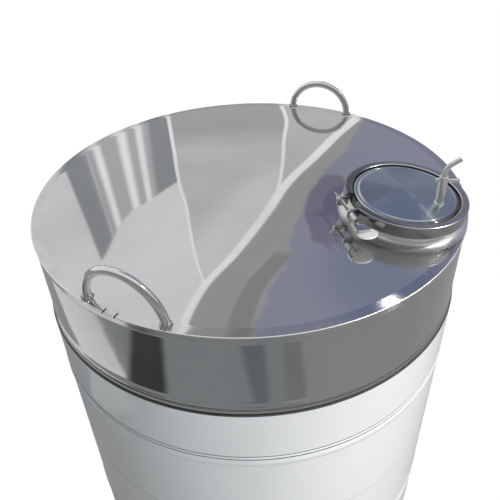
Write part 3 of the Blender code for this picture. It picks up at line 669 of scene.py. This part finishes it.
# Clamping ring: rolled strip that hooks over the lid's flange and under the neck's turned edge,
# sawn open at the clamp.
CLAMP_AZIMUTH = math.radians(-138.0)
SLOT_HALF = 0.0208
ring_outline = rounded([
    (0.0905, 0.0308), (0.0905, 0.0390), (0.0926, 0.0402), (0.0970, 0.0405), (0.1016, 0.0401), (0.1032, 0.0391),
    (0.1035, 0.0375), (0.1035, 0.0200), (0.1022, 0.0185), (0.1000, 0.0185), (0.1000, 0.0200), (0.1020, 0.0212),
    (0.1020, 0.0345), (0.0985, 0.0308)], 0.0006)
opening = math.asin(SLOT_HALF / 0.099)
ring = turned(ring_outline, 200, CLAMP_AZIMUTH + opening, 2.0 * (math.pi - opening))
ring_steel, tree, shader, vector = steel_finish("ring_steel", (0.44, 0.44, 0.44), 0.17, film_scale=30.0)
place = tree.nodes.new("ShaderNodeSeparateXYZ")
tree.links.new(vector, place.inputs["Vector"])
# The ring's left side is painted darker than its right: painted shade.
shaded_left_side = between(tree, place.outputs["X"], HATCH_X - 0.075, HATCH_X + 0.010, 1.0, 0.0)
tree.links.new(mixed(tree, shaded_left_side, (0.46, 0.46, 0.46), (0.25, 0.25, 0.25)), shader.inputs["Base Color"])
clamp_ring = add_piece("rolled_ring", placed(ring, hatch), ring_steel, "hatch", ["clamp_ring"], around=False,
                       capped=True)


# Lugs: two thick plates welded on the ring's sawn ends, drilled for the bolt.
LUG_FACE = 0.0175
LUG_THICKNESS = 0.0030
BOLT_OFFSET = 0.1105
BOLT_HEIGHT = 0.0290


def turn_z(angle):
    """Matrix that turns by an angle about Z."""
    place = np.eye(4)
    place[:2, :2] = [(math.cos(angle), -math.sin(angle)), (math.sin(angle), math.cos(angle))]
    return place


clamp = hatch @ turn_z(CLAMP_AZIMUTH - 0.5 * math.pi)


def plate(outline, low, high, edge, steps=4):
    """Rows of an outline from low to high, drawn in along a quarter circle at both faces."""
    outline = np.asarray(outline, dtype=float)
    along = np.roll(outline, -1, axis=0) - np.roll(outline, 1, axis=0)
    along /= np.linalg.norm(along, axis=1, keepdims=True)
    inward = np.column_stack([-along[:, 1], along[:, 0]])
    quarter = np.linspace(0.0, 0.5 * math.pi, steps)
    drawn = edge * (1.0 - np.sin(quarter))
    rise = edge * (1.0 - np.cos(quarter))
    insets = np.concatenate([drawn, drawn[::-1]])
    heights = np.concatenate([low + rise, high - rise[::-1]])
    flat = outline[None] + insets[:, None, None] * inward[None]
    return np.dstack([flat, np.broadcast_to(heights[:, None], flat.shape[:2])])


def arc_points(centre, radius, start, end, count):
    """Points on a circle from one angle to another."""
    angle = np.linspace(start, end, count)
    return np.column_stack([centre[0] + radius * np.cos(angle), centre[1] + radius * np.sin(angle)])


fitting_steel = steel_finish("fitting_steel", (0.60, 0.60, 0.60), 0.05, film_scale=80.0, scratch=0.00001)[0]
lug_outline = np.concatenate([
    [(0.0188, 0.0968), (0.0357, 0.0968)],
    arc_points((0.0310, 0.1126), 0.0048, 0.0, 0.5 * math.pi, 7),
    arc_points((0.0235, 0.1126), 0.0048, 0.5 * math.pi, math.pi, 7)])
stand = np.array([(0.0, 0.0, 1.0, 0.0), (0.0, 1.0, 0.0, 0.0), (1.0, 0.0, 0.0, 0.0), (0.0, 0.0, 0.0, 1.0)])
for name, near in (("clamp_lug_far", LUG_FACE), ("clamp_lug_near", -LUG_FACE - LUG_THICKNESS)):
    points = placed(placed(plate(lug_outline, near, near + LUG_THICKNESS, 0.0005), stand), clamp)
    lug = add_piece(f"{name}_plate", points, fitting_steel, "hatch", [name], along=False, capped=True)


# Clamp bolt: threaded rod through the lugs, a sleeve over it on the lever's side, and a winged
# nut on the far side.
THREAD_PITCH = 0.0010
along_bolt = np.array([(0.0, 0.0, -1.0, 0.0), (0.0, 1.0, 0.0, 0.0), (1.0, 0.0, 0.0, 0.0), (0.0, 0.0, 0.0, 1.0)])
bolt_place = clamp @ shift(0.0, BOLT_OFFSET, BOLT_HEIGHT) @ along_bolt
rod = np.linspace(-0.0350, 0.0400, 301)
thread = 0.0028 + 0.0002 * np.cos(2.0 * math.pi * rod / THREAD_PITCH)
rod_outline = np.concatenate([[(0.0, rod[0])], np.column_stack([thread, rod]), [(0.0, rod[-1])]])
bolt = add_piece("threaded_bolt", placed(turned(rod_outline, 32), bolt_place), fitting_steel, "hatch",
                 ["clamp_bolt"])
sleeve_outline = rounded([(0.0033, 0.0208), (0.0050, 0.0208), (0.0050, 0.0400), (0.0033, 0.0400)], 0.0005)
sleeve = add_piece("bolt_sleeve", placed(turned(sleeve_outline, 48), bolt_place), fitting_steel, "hatch",
                   ["clamp_sleeve"])

WING_TURN = math.radians(35.0)
nut_place = bolt_place @ turn_z(WING_TURN)
hub_outline = rounded([(0.0033, -0.0288), (0.0046, -0.0288), (0.0055, -0.0208), (0.0033, -0.0208)], 0.0006)
hub = add_piece("wing_nut_hub", placed(turned(hub_outline, 48), nut_place), fitting_steel, "hatch", ["wing_nut"])
for label, side in (("one", 1.0), ("two", -1.0)):
    reach = np.linspace(0.0, 1.0, 25)[:, None]
    angle = 2.0 * math.pi * np.arange(24)[None] / 24
    half_height = 0.0034 * np.sqrt(np.clip(1.0 - (2.0 * reach - 1.0) ** 6, 0.0, 1.0)) * (0.8 + 0.35 * reach)
    half_sheet = 0.00125 * np.sqrt(np.clip(1.0 - (2.0 * reach - 1.0) ** 6, 0.0, 1.0))
    x = side * (0.0045 + 0.0103 * reach) + 0.0 * angle
    y = half_sheet * np.sin(angle)
    z = -0.0250 - 0.0022 * reach + half_height * np.cos(angle)
    wing = add_piece(f"wing_{label}", placed(np.stack([x, y, z], axis=-1), nut_place), fitting_steel, "hatch", [],
                     along=False)


# Lever: a flared block on the bolt's end, and under it a thin sheet with an oval paddle that turns
# on a tubular rivet through the block. The paddle's upper face is blasted to a pale satin.
LEVER_PIVOT = 0.0505
BLOCK_LOW = 0.0245
BLOCK_HIGH = 0.0300
LEVER_NECK = 0.0075
PADDLE = (0.0692, 0.0052)
PADDLE_HALF_LENGTH = 0.0174
PADDLE_HALF_WIDTH = 0.0123

lever_side = clamp @ shift(0.0, BOLT_OFFSET, 0.0) @ turn_z(math.pi)
block_outline = rounded([(0.0403, -0.0045), (0.0475, -0.0120), (0.0600, -0.0135), (0.0672, -0.0120),
                         (0.0672, 0.0120), (0.0600, 0.0135), (0.0475, 0.0120), (0.0403, 0.0045)], 0.0030)
block = add_piece("lever_block", placed(plate(block_outline, BLOCK_LOW, BLOCK_HIGH, 0.0008), lever_side),
                  fitting_steel, "hatch", ["clamp_block"], along=False, capped=True)

pivot_place = lever_side @ shift(LEVER_PIVOT, 0.0, 0.0)
eyelet_outline = rounded([(0.0, 0.0262), (0.0023, 0.0262), (0.0023, 0.0314), (0.0034, 0.0314), (0.0045, 0.0303),
                          (0.0028, 0.0303), (0.0028, 0.0209), (0.0045, 0.0209), (0.0034, 0.0198),
                          (0.0023, 0.0198), (0.0023, 0.0240), (0.0, 0.0240)], 0.0002)
eyelet = add_piece("tubular_rivet", placed(turned(eyelet_outline, 48), pivot_place), fitting_steel, "hatch",
                   ["lever_rivet"])
# A near-black disc inside the rivet's bore: painted shade in the hollow.
bore_shade_outline = [(0.0, 0.0263), (0.0022, 0.0263), (0.0022, 0.0304), (0.0012, 0.0298), (0.0, 0.0296)]
bore_shade = add_piece("rivet_bore_shade", placed(turned(bore_shade_outline, 48), pivot_place), ink_and_bore_shade, "hatch", [])

aim = math.atan2(PADDLE[1], PADDLE[0] - LEVER_PIVOT)
half_open = math.radians(150.0)
lever_outline = np.concatenate([
    PADDLE + arc_points((0.0, 0.0), 1.0, aim - half_open, aim + half_open, 61) * (PADDLE_HALF_WIDTH, PADDLE_HALF_LENGTH),
    arc_points((LEVER_PIVOT, 0.0), LEVER_NECK, aim + 0.5 * math.pi, aim + 1.5 * math.pi, 25)])
lever_steel, tree, shader, vector = new_finish("lever_steel")
blasted = noise(tree, vector, 700.0)
tree.links.new(mixed(tree, between(tree, blasted, 0.3, 0.7), (0.95, 0.95, 0.94), (0.89, 0.89, 0.88)),
               shader.inputs["Base Color"])
tree.links.new(between(tree, blasted, 0.3, 0.7, 0.35, 0.45), shader.inputs["Roughness"])
shader.inputs["Metallic"].default_value = 0.15
bumped(tree, shader, blasted, 0.00005)
lever = add_piece("lever_paddle", placed(plate(lever_outline, 0.0212, 0.0242, 0.0006), lever_side), lever_steel,
                  "clamp_lever", ["clamp_lever"], along=False, capped=True)


# Vent: a plumb pipe welded on the lid, with a small nozzle and a boss on its sides, and a bent
# spout pushed into its top.
VENT_OUT = 0.0590
VENT_SIDE = -0.0070
VENT_RADIUS = 0.0072
VENT_LENGTH = 0.0500
SPOUT_RADIUS = 0.0042
SPOUT_BORE = 0.0030
SPOUT_STEM = 0.0020
SPOUT_REACH = 0.0150
SPOUT_BEND = math.radians(57.0)
BEND_RADIUS = 0.022

vent_foot = placed(np.array([VENT_OUT, VENT_SIDE, 0.0]), hatch)


def lid_height(x, y):
    """World height of the lid's cone over a world point, found in three steps."""
    height = np.full_like(x, hatch[2, 3] + LID_CENTRE)
    inverse = np.linalg.inv(hatch)
    for _ in range(3):
        local = placed(np.stack([x, y, height], axis=-1), inverse)
        cone_top = LID_CENTRE - np.hypot(local[..., 0], local[..., 1]) / LID_PLATE_RADIUS * (LID_CENTRE - LID_PLATE_TOP)
        height = height + cone_top - local[..., 2]
    return height


vent_top = float(lid_height(vent_foot[0:1], vent_foot[1:2])[0]) + VENT_LENGTH
angle = 2.0 * math.pi * np.arange(64) / 64
levels = [(VENT_RADIUS + 0.0016, 0.0), (VENT_RADIUS + 0.0005, 0.0008), (VENT_RADIUS, 0.0022), (VENT_RADIUS, 0.2),
          (VENT_RADIUS, 0.8), (VENT_RADIUS, 0.965), (VENT_RADIUS - 0.0003, 0.99), (VENT_RADIUS - 0.0010, 1.0),
          (SPOUT_RADIUS, 1.0), (SPOUT_RADIUS - 0.0006, 0.97), (0.0, 0.96)]
rows = []
for number, (reach, level) in enumerate(levels):
    x = vent_foot[0] + reach * np.cos(angle)
    y = vent_foot[1] + reach * np.sin(angle)
    foot_height = lid_height(x, y) + 0.0003
    height = foot_height + level if number < 3 else foot_height + level * (vent_top - foot_height)
    rows.append(np.column_stack([x, y, height]))
vent_steel = steel_finish("vent_steel", (0.76, 0.76, 0.75), 0.17, film_scale=50.0, scratch=0.00001, metallic=0.9)[0]
pipe = add_piece("vent_upright", np.array(rows), vent_steel, "hatch", ["vent_pipe"], along=False, capped=True)

for name, drop, side, outline in (
        ("vent_nozzle", 0.0095, 1.0, [(0.0, 0.0068), (0.0035, 0.0068), (0.0035, 0.0250), (0.0030, 0.0255),
                                      (0.0024, 0.0255), (0.0022, 0.0245), (0.0022, 0.0130), (0.0, 0.0130)]),
        ("vent_boss", 0.0070, -1.0, [(0.0, 0.0068), (0.0036, 0.0068), (0.0036, 0.0118), (0.0029, 0.0125),
                                     (0.0, 0.0125)])):
    sideways = np.array([(0.0, 0.0, side, 0.0), (0.0, 1.0, 0.0, 0.0), (-side, 0.0, 0.0, 0.0), (0.0, 0.0, 0.0, 1.0)])
    place = shift(vent_foot[0], vent_foot[1], vent_top - drop) @ sideways
    fitting = add_piece(f"{name}_tube", placed(turned(rounded(outline, 0.0003), 48), place), vent_steel, "hatch",
                        [name])

base = np.array([vent_foot[0], vent_foot[1], vent_top + 0.0003])
bend = np.linspace(0.0, SPOUT_BEND, 22)[:, None]
curve = base + np.concatenate([BEND_RADIUS * (1.0 - np.cos(bend)), 0.0 * bend,
                               SPOUT_STEM + BEND_RADIUS * np.sin(bend)], axis=1)
tip = np.array([math.sin(SPOUT_BEND), 0.0, math.cos(SPOUT_BEND)])
straight = curve[-1] + np.array([0.25, 0.5, 0.75, 0.97, 1.0])[:, None] * SPOUT_REACH * tip
outer_path = np.concatenate([[base, base + (0.0, 0.0, 0.5 * SPOUT_STEM)], curve, straight])
inner_path = outer_path[::-1][:12]
radii = np.concatenate([np.full(len(outer_path) - 1, SPOUT_RADIUS), [SPOUT_RADIUS - 0.0004],
                        [SPOUT_BORE + 0.0002], np.full(10, SPOUT_BORE), [0.0]])
outer_grid = bar(outer_path, radii[:len(outer_path)])
inner_grid = bar(outer_path, SPOUT_BORE)[::-1][:12]
inner_grid[-1] = inner_path[-1]
spout = add_piece("bent_spout", np.concatenate([outer_grid, inner_grid]), vent_steel, "hatch", ["vent_spout"],
                  along=False, capped=True)


# Studio: a pale floor and a pale room for the camera. The polished faces mirror a patchwork of
# pale, grey and blue panels instead, laid out on the floor and on a plane overhead.
PALE = (1.03, 1.03, 1.03)
FLOOR_HALF = 60.0
FLOOR_LIGHT = (0.12, 0.125, 0.13)
FLOOR_GREY = (0.345, 0.345, 0.345)
FLOOR_PATCHES = (
    {"colour": (0.265, 0.28, 0.285), "soft": 0.20, "corners": [(-2.8, -0.5), (-1.0, -2.8), (0.45, -2.8), (0.45, -0.6)]},
    {"colour": (0.17, 0.18, 0.19), "soft": 0.05, "corners": [(-0.25, -1.7), (0.10, -1.7), (0.16, -1.22), (0.0, -1.22)]},
    {"colour": (0.22, 0.23, 0.235), "soft": 0.04, "corners": [(0.38, -1.7), (0.62, -1.7), (0.50, -1.15), (0.30, -1.15)]},
    {"colour": (0.76, 0.77, 0.77), "soft": 0.02, "corners": [(-3.4, 0.75), (-1.04, -0.63), (-1.1, 0.4), (-3.0, 2.4)]},
    {"colour": (0.30, 0.31, 0.32), "soft": 0.02, "corners": [(-1.25, 0.10), (-0.6, 0.3), (-0.8, 1.9), (-1.81, 1.3)]},
    {"colour": (0.050, 0.052, 0.055), "soft": 0.06,
     "corners": [(-1.50, -0.98), (-1.15, -1.24), (-0.85, -0.88), (-1.14, -0.46)]},
)


def glow(tree, colour):
    """Shader that gives off a colour, given as a socket or (red, green, blue)."""
    node = tree.nodes.new("ShaderNodeEmission")
    if isinstance(colour, tuple):
        node.inputs["Color"].default_value = (*colour, 1.0)
    else:
        tree.links.new(colour, node.inputs["Color"])
    return node.outputs["Emission"]


def either(tree, factor, first, second):
    """Shader between two shaders. The factor is a socket or a number."""
    node = tree.nodes.new("ShaderNodeMixShader")
    if isinstance(factor, float):
        node.inputs["Fac"].default_value = factor
    else:
        tree.links.new(factor, node.inputs["Fac"])
    tree.links.new(first, node.inputs[1])
    tree.links.new(second, node.inputs[2])
    return node.outputs["Shader"]


def left_of(tree, across, along, start, end):
    """Distance to the left of the line from one point to another, seen from above."""
    run = np.array(end) - np.array(start)
    run = run / np.linalg.norm(run)
    offset = float(run[1] * start[0] - run[0] * start[1])
    sideways = math_node(tree, "MULTIPLY_ADD", across, float(-run[1]), offset)
    return math_node(tree, "MULTIPLY_ADD", along, float(run[0]), sideways)


def inside(tree, across, along, corners, soft):
    """1 inside a polygon whose corners run counter-clockwise, 0 outside, eased over a soft edge."""
    mask = 1.0
    for start, end in zip(corners, corners[1:] + corners[:1]):
        offset = left_of(tree, across, along, start, end)
        mask = math_node(tree, "MULTIPLY", between(tree, offset, -soft, soft), mask)
    return mask


floor_finish = bpy.data.materials.new("studio_floor")
floor_finish.use_nodes = True
tree = floor_finish.node_tree
shader = tree.nodes["Principled BSDF"]
shader.inputs["Base Color"].default_value = (0.80, 0.80, 0.80, 1.0)
shader.inputs["Roughness"].default_value = 0.9
spot = tree.nodes.new("ShaderNodeTexCoord").outputs["Object"]
position = tree.nodes.new("ShaderNodeSeparateXYZ")
tree.links.new(spot, position.inputs["Vector"])
warp = math_node(tree, "MULTIPLY_ADD", noise(tree, spot, 3.0, 3.0), 0.10, -0.05)
across = math_node(tree, "ADD", position.outputs["X"], warp)
along = math_node(tree, "ADD", position.outputs["Y"], warp)
colour = mixed(tree, between(tree, noise(tree, spot, 2.0), 0.3, 0.7), FLOOR_GREY, (0.32, 0.32, 0.32))
for patch in FLOOR_PATCHES:
    mask = inside(tree, across, along, patch["corners"], patch["soft"])
    colour = mixed(tree, mask, colour, patch["colour"])
rays = tree.nodes.new("ShaderNodeLightPath")
mirrored = either(tree, rays.outputs["Is Diffuse Ray"], glow(tree, colour), glow(tree, FLOOR_LIGHT))
lit = either(tree, 0.97, shader.outputs["BSDF"], glow(tree, PALE))
seen = either(tree, rays.outputs["Is Camera Ray"], mirrored, lit)
tree.links.new(seen, tree.nodes["Material Output"].inputs["Surface"])
floor_mesh = bpy.data.meshes.new("studio_floor")
floor_mesh.from_pydata([(-FLOOR_HALF, -FLOOR_HALF, 0.0), (FLOOR_HALF, -FLOOR_HALF, 0.0),
                        (FLOOR_HALF, FLOOR_HALF, 0.0), (-FLOOR_HALF, FLOOR_HALF, 0.0)], [], [(0, 1, 2, 3)])
floor_mesh.materials.append(floor_finish)
floor = bpy.data.objects.new("studio_floor", floor_mesh)
bpy.context.scene.collection.objects.link(floor)


def curve_through(tree, value, points):
    """Smooth curve of a value through (value, result) points."""
    first, last = points[0][0], points[-1][0]
    results = [result for _, result in points]
    low, high = min(results), max(results)
    node = tree.nodes.new("ShaderNodeFloatCurve")
    curve = node.mapping.curves[0]
    scaled = [((at - first) / (last - first), (result - low) / (high - low)) for at, result in points]
    curve.points[0].location = scaled[0]
    curve.points[-1].location = scaled[-1]
    for at, result in scaled[1:-1]:
        curve.points.new(at, result)
    for point in curve.points:
        point.handle_type = "AUTO_CLAMPED"
    node.mapping.update()
    share = math_node(tree, "MULTIPLY_ADD", value, 1.0 / (last - first), -first / (last - first))
    tree.links.new(share, node.inputs["Value"])
    return math_node(tree, "MULTIPLY_ADD", node.outputs["Value"], high - low, low)


# The overhead panels lie on a plane one metre above the eye: right is x over z of a direction,
# and back is y over z. Lines are given as (back, right) points.
LEFT_SLAB = (0.92, 0.92, 0.92)
MIDDLE_SLAB = (0.62, 0.62, 0.62)
MIDDLE_PALE = (0.80, 0.80, 0.80)
FAR_SLAB = (0.46, 0.46, 0.465)
SEAM = (1.10, 1.10, 1.10)
SEAM_ONE = [(0.70, -0.11), (0.96, -0.178), (1.19, -0.219), (1.43, -0.256), (1.70, -0.310), (2.52, -0.441),
            (5.33, -0.888), (7.0, -1.15)]
SEAM_TWO = [(1.30, 0.085), (1.47, 0.114), (1.85, 0.166), (2.63, 0.237), (3.94, 0.358), (7.0, 0.49)]
STREAK_EDGE = [(1.0, -0.60), (1.086, -0.525), (1.36, -0.511), (1.55, -0.426), (1.77, -0.322), (1.95, -0.2), (7.0, 0.0)]
STREAK_CENTRE = -0.085
STREAK_DARK = (0.29, 0.305, 0.33)
STREAK_GREY = (0.53, 0.535, 0.545)
STREAK_PALE = (1.12, 1.12, 1.12)
STREAKS = ((-0.423, 0.010, 0.7), (-0.352, 0.006, 0.25), (-0.325, 0.016, 1.0), (-0.261, 0.019, 1.0), (-0.220, 0.014, 0.9))
STRIP = (1.12, 1.12, 1.12)
STRIP_LINE = [(0.4, -0.24), (0.76, -0.158), (1.0, -0.033), (1.3, 0.088), (1.6, 0.184), (2.15, 0.393),
              (2.9, 0.645), (4.4, 1.140), (7.0, 1.95)]
GREY_PANEL = (0.385, 0.385, 0.38)
DARK_PANEL = (0.265, 0.265, 0.27)
BLUE_LINE = [(0.4, 0.195), (0.88, 0.200), (1.05, 0.142), (1.45, 0.102), (2.4, 0.096), (3.0, 0.084), (4.3, 0.02),
             (7.0, 0.0)]
BLUE_PANEL = (0.285, 0.295, 0.405)
BLUE_DEEP = (0.185, 0.225, 0.35)
BLUE_SHADE = (0.17, 0.155, 0.255)
FRONT_PALE = (0.85, 0.85, 0.85)
FRONT_DARK = (0.26, 0.26, 0.265)

world = bpy.data.worlds.new("studio_room")
bpy.context.scene.world = world
world.use_nodes = True
tree = world.node_tree
heading = tree.nodes.new("ShaderNodeTexCoord").outputs["Generated"]
direction = tree.nodes.new("ShaderNodeSeparateXYZ")
tree.links.new(heading, direction.inputs[0])
height = math_node(tree, "MAXIMUM", direction.outputs["Z"], 0.05)
right = math_node(tree, "DIVIDE", direction.outputs["X"], height)
back = math_node(tree, "DIVIDE", direction.outputs["Y"], height)
plane = tree.nodes.new("ShaderNodeCombineXYZ")
tree.links.new(right, plane.inputs["X"])
tree.links.new(back, plane.inputs["Y"])
plane = plane.outputs["Vector"]
cloud = noise(tree, plane, 1.6, 3.0)


def past(points):
    """How far a direction lies to the right of a line of (back, right) points."""
    return math_node(tree, "SUBTRACT", right, curve_through(tree, back, points))


def seam(past_line):
    """1 on a thin seam, which keeps its width in the picture as it runs back."""
    half = math_node(tree, "MULTIPLY", back, 0.0042)
    return between(tree, math_node(tree, "DIVIDE", math_node(tree, "ABSOLUTE", past_line), half), 0.7, 1.3, 1.0, 0.0)


past_one = past(SEAM_ONE)
past_two = past(SEAM_TWO)
past_strip = past(STRIP_LINE)
by_strip = math_node(tree, "MULTIPLY", between(tree, past_strip, -0.30, -0.12), between(tree, back, 2.1, 1.4))
slab = mixed(tree, between(tree, cloud, 0.35, 0.65), MIDDLE_SLAB, tuple(1.1 * part for part in MIDDLE_SLAB))
slab = mixed(tree, by_strip, slab, MIDDLE_PALE)
slab = mixed(tree, between(tree, back, 2.2, 3.4), slab, FAR_SLAB)
slab = mixed(tree, between(tree, past_two, -0.01, 0.01), slab, MIDDLE_SLAB)
left_slab = mixed(tree, between(tree, cloud, 0.35, 0.65), LEFT_SLAB, tuple(0.93 * part for part in LEFT_SLAB))
colour = mixed(tree, between(tree, past_one, -0.005, 0.005), left_slab, slab)

fan = math_node(tree, "DIVIDE", math_node(tree, "SUBTRACT", right, STREAK_CENTRE), math_node(tree, "MAXIMUM", back, 0.5))
grey_part = math_node(tree, "MULTIPLY", between(tree, fan, -0.37, -0.335), between(tree, fan, -0.188, -0.205))
streaks = mixed(tree, grey_part, STREAK_DARK, STREAK_GREY)
for angle, half, strength in STREAKS:
    from_streak = math_node(tree, "ABSOLUTE", math_node(tree, "SUBTRACT", fan, angle))
    streaks = mixed(tree, between(tree, from_streak, 0.1 * half, half, strength, 0.0), streaks, STREAK_PALE)
in_fan = math_node(tree, "MULTIPLY", between(tree, fan, -0.432, -0.418), between(tree, past(STREAK_EDGE), 0.012, -0.012))
in_fan = math_node(tree, "MULTIPLY", in_fan, between(tree, past_one, 0.0, -0.01))
colour = mixed(tree, in_fan, colour, streaks)
colour = mixed(tree, seam(past_one), colour, SEAM)
colour = mixed(tree, seam(past_two), colour, SEAM)

strip_start = math_node(tree, "MULTIPLY_ADD", back, 0.019, math_node(tree, "ADD", past_strip, 0.014))
colour = mixed(tree, between(tree, strip_start, -0.004, 0.004), colour, STRIP)
colour = mixed(tree, between(tree, past_strip, -0.005, 0.005), colour, GREY_PANEL)
in_patch = math_node(tree, "MULTIPLY", between(tree, past_strip, 0.110, 0.124), between(tree, past_strip, 0.188, 0.180))
in_patch = math_node(tree, "MULTIPLY", in_patch, between(tree, back, 1.01, 0.97))
colour = mixed(tree, in_patch, colour, DARK_PANEL)

wander = math_node(tree, "MULTIPLY_ADD", noise(tree, plane, 6.0, 3.0, 0.6), 0.08, -0.04)
into_blue = math_node(tree, "SUBTRACT", past_strip, curve_through(tree, back, BLUE_LINE))
into_blue = math_node(tree, "ADD", into_blue, wander)
deep_right = math_node(tree, "MULTIPLY_ADD", right, 5.0, -2.2)
deep_back = math_node(tree, "MULTIPLY_ADD", back, 4.0, -3.4)
deep = math_node(tree, "ADD", math_node(tree, "MULTIPLY", deep_right, deep_right),
                 math_node(tree, "MULTIPLY", deep_back, deep_back))
blue = mixed(tree, between(tree, deep, 0.1, 2.2, 1.0, 0.0), BLUE_PANEL, BLUE_DEEP)
shade_right = math_node(tree, "MULTIPLY_ADD", math_node(tree, "MULTIPLY_ADD", back, -0.18, right), 10.0, -0.79)
shade_back = math_node(tree, "MULTIPLY_ADD", back, 2.7, -3.85)
shade = math_node(tree, "ADD", math_node(tree, "MULTIPLY", shade_right, shade_right),
                  math_node(tree, "MULTIPLY", shade_back, shade_back))
shade = math_node(tree, "MULTIPLY_ADD", wander, 14.0, shade)
blue = mixed(tree, between(tree, shade, 0.85, 1.15, 1.0, 0.0), blue, BLUE_SHADE)
colour = mixed(tree, between(tree, into_blue, -0.008, 0.012), colour, blue)
colour = mixed(tree, between(tree, right, 1.5, 2.2), colour, GREY_PANEL)

front = mixed(tree, between(tree, back, -0.75, -0.45), FRONT_DARK, FRONT_PALE)
colour = mixed(tree, between(tree, back, 0.35, 0.55), front, colour)

# Matt faces get a plain light from the room, cooler and darker at the left and a little in front.
SIDE_DARK = (0.02, 0.045, 0.06)
SIDE_PALE = (0.42, 0.42, 0.42)
to_right = math_node(tree, "MULTIPLY_ADD", direction.outputs["X"], 0.966,
                     math_node(tree, "MULTIPLY", direction.outputs["Y"], 0.259))
side_light = mixed(tree, between(tree, to_right, -0.62, 0.45), SIDE_DARK, SIDE_PALE)


def background(colour):
    """Background shader of a colour, given as a socket or (red, green, blue)."""
    node = tree.nodes.new("ShaderNodeBackground")
    if isinstance(colour, tuple):
        node.inputs["Color"].default_value = (*colour, 1.0)
    else:
        tree.links.new(colour, node.inputs["Color"])
    return node.outputs["Background"]


rays = tree.nodes.new("ShaderNodeLightPath")
mirrored = either(tree, rays.outputs["Is Diffuse Ray"], background(colour), background(side_light))
seen = either(tree, rays.outputs["Is Camera Ray"], mirrored, background(PALE))
tree.links.new(seen, tree.nodes["World Output"].inputs["Surface"])


def aimed(item, place, target):
    """Put a lamp or camera at a place and turn its -Z towards the target."""
    forward = np.array(target, dtype=float) - np.array(place, dtype=float)
    forward /= np.linalg.norm(forward)
    right = np.cross(forward, (0.0, 0.0, 1.0))
    right /= np.linalg.norm(right)
    turned_to = np.eye(4)
    turned_to[:3, :3] = np.column_stack([right, np.cross(right, forward), -forward])
    turned_to[:3, 3] = place
    item.matrix_world = Matrix(turned_to.tolist())


SUN_AZIMUTH = math.radians(-1.0)
SUN_ELEVATION = math.radians(48.0)
lamp_data = bpy.data.lights.new("low_lamp", "SUN")
lamp_data.energy = 1.6
lamp_data.angle = math.radians(1.2)
lamp = bpy.data.objects.new("low_lamp", lamp_data)
bpy.context.scene.collection.objects.link(lamp)
lamp_place = (3.0 * math.cos(SUN_AZIMUTH) * math.cos(SUN_ELEVATION),
              3.0 * math.sin(SUN_AZIMUTH) * math.cos(SUN_ELEVATION), 1.25 + 3.0 * math.sin(SUN_ELEVATION))
aimed(lamp, lamp_place, (0.0, 0.0, 1.25))

for soft_name, power, soft_place in (("front_softbox", 61.0, (1.66, -2.52, 1.4)),
                                     ("rear_softbox", 70.0, (-1.1, 2.7, 1.6))):
    soft_data = bpy.data.lights.new(soft_name, "AREA")
    soft_data.shape = "RECTANGLE"
    soft_data.size = 1.6
    soft_data.size_y = 1.6
    soft_data.energy = power
    soft = bpy.data.objects.new(soft_name, soft_data)
    bpy.context.scene.collection.objects.link(soft)
    aimed(soft, soft_place, (0.1, 0.0, 0.9))
    soft.visible_glossy = False

# Camera: held at eye level in front of the tank, looking down at its roof.
CAMERA_PLACE = (0.0, -0.9456, 1.8085)
CAMERA_YAW = -0.0013
CAMERA_PITCH = math.radians(36.98)
CAMERA_ROLL = -0.0415
camera_data = bpy.data.cameras.new("photo_camera")
camera_data.lens = 41.22
camera_data.sensor_width = 36.0
camera_data.clip_end = 200.0
camera = bpy.data.objects.new("photo_camera", camera_data)
bpy.context.scene.collection.objects.link(camera)
forward = np.array([math.sin(CAMERA_YAW) * math.cos(CAMERA_PITCH), math.cos(CAMERA_YAW) * math.cos(CAMERA_PITCH),
                    -math.sin(CAMERA_PITCH)])
level_right = np.array([math.cos(CAMERA_YAW), -math.sin(CAMERA_YAW), 0.0])
level_up = np.cross(level_right, forward)
camera_right = math.cos(CAMERA_ROLL) * level_right + math.sin(CAMERA_ROLL) * level_up
camera_up = math.cos(CAMERA_ROLL) * level_up - math.sin(CAMERA_ROLL) * level_right
stance = np.eye(4)
stance[:3, :3] = np.column_stack([camera_right, camera_up, -forward])
stance[:3, 3] = CAMERA_PLACE
camera.matrix_world = Matrix(stance.tolist())
bpy.context.scene.camera = camera
bpy.context.scene.view_settings.view_transform = "Standard"
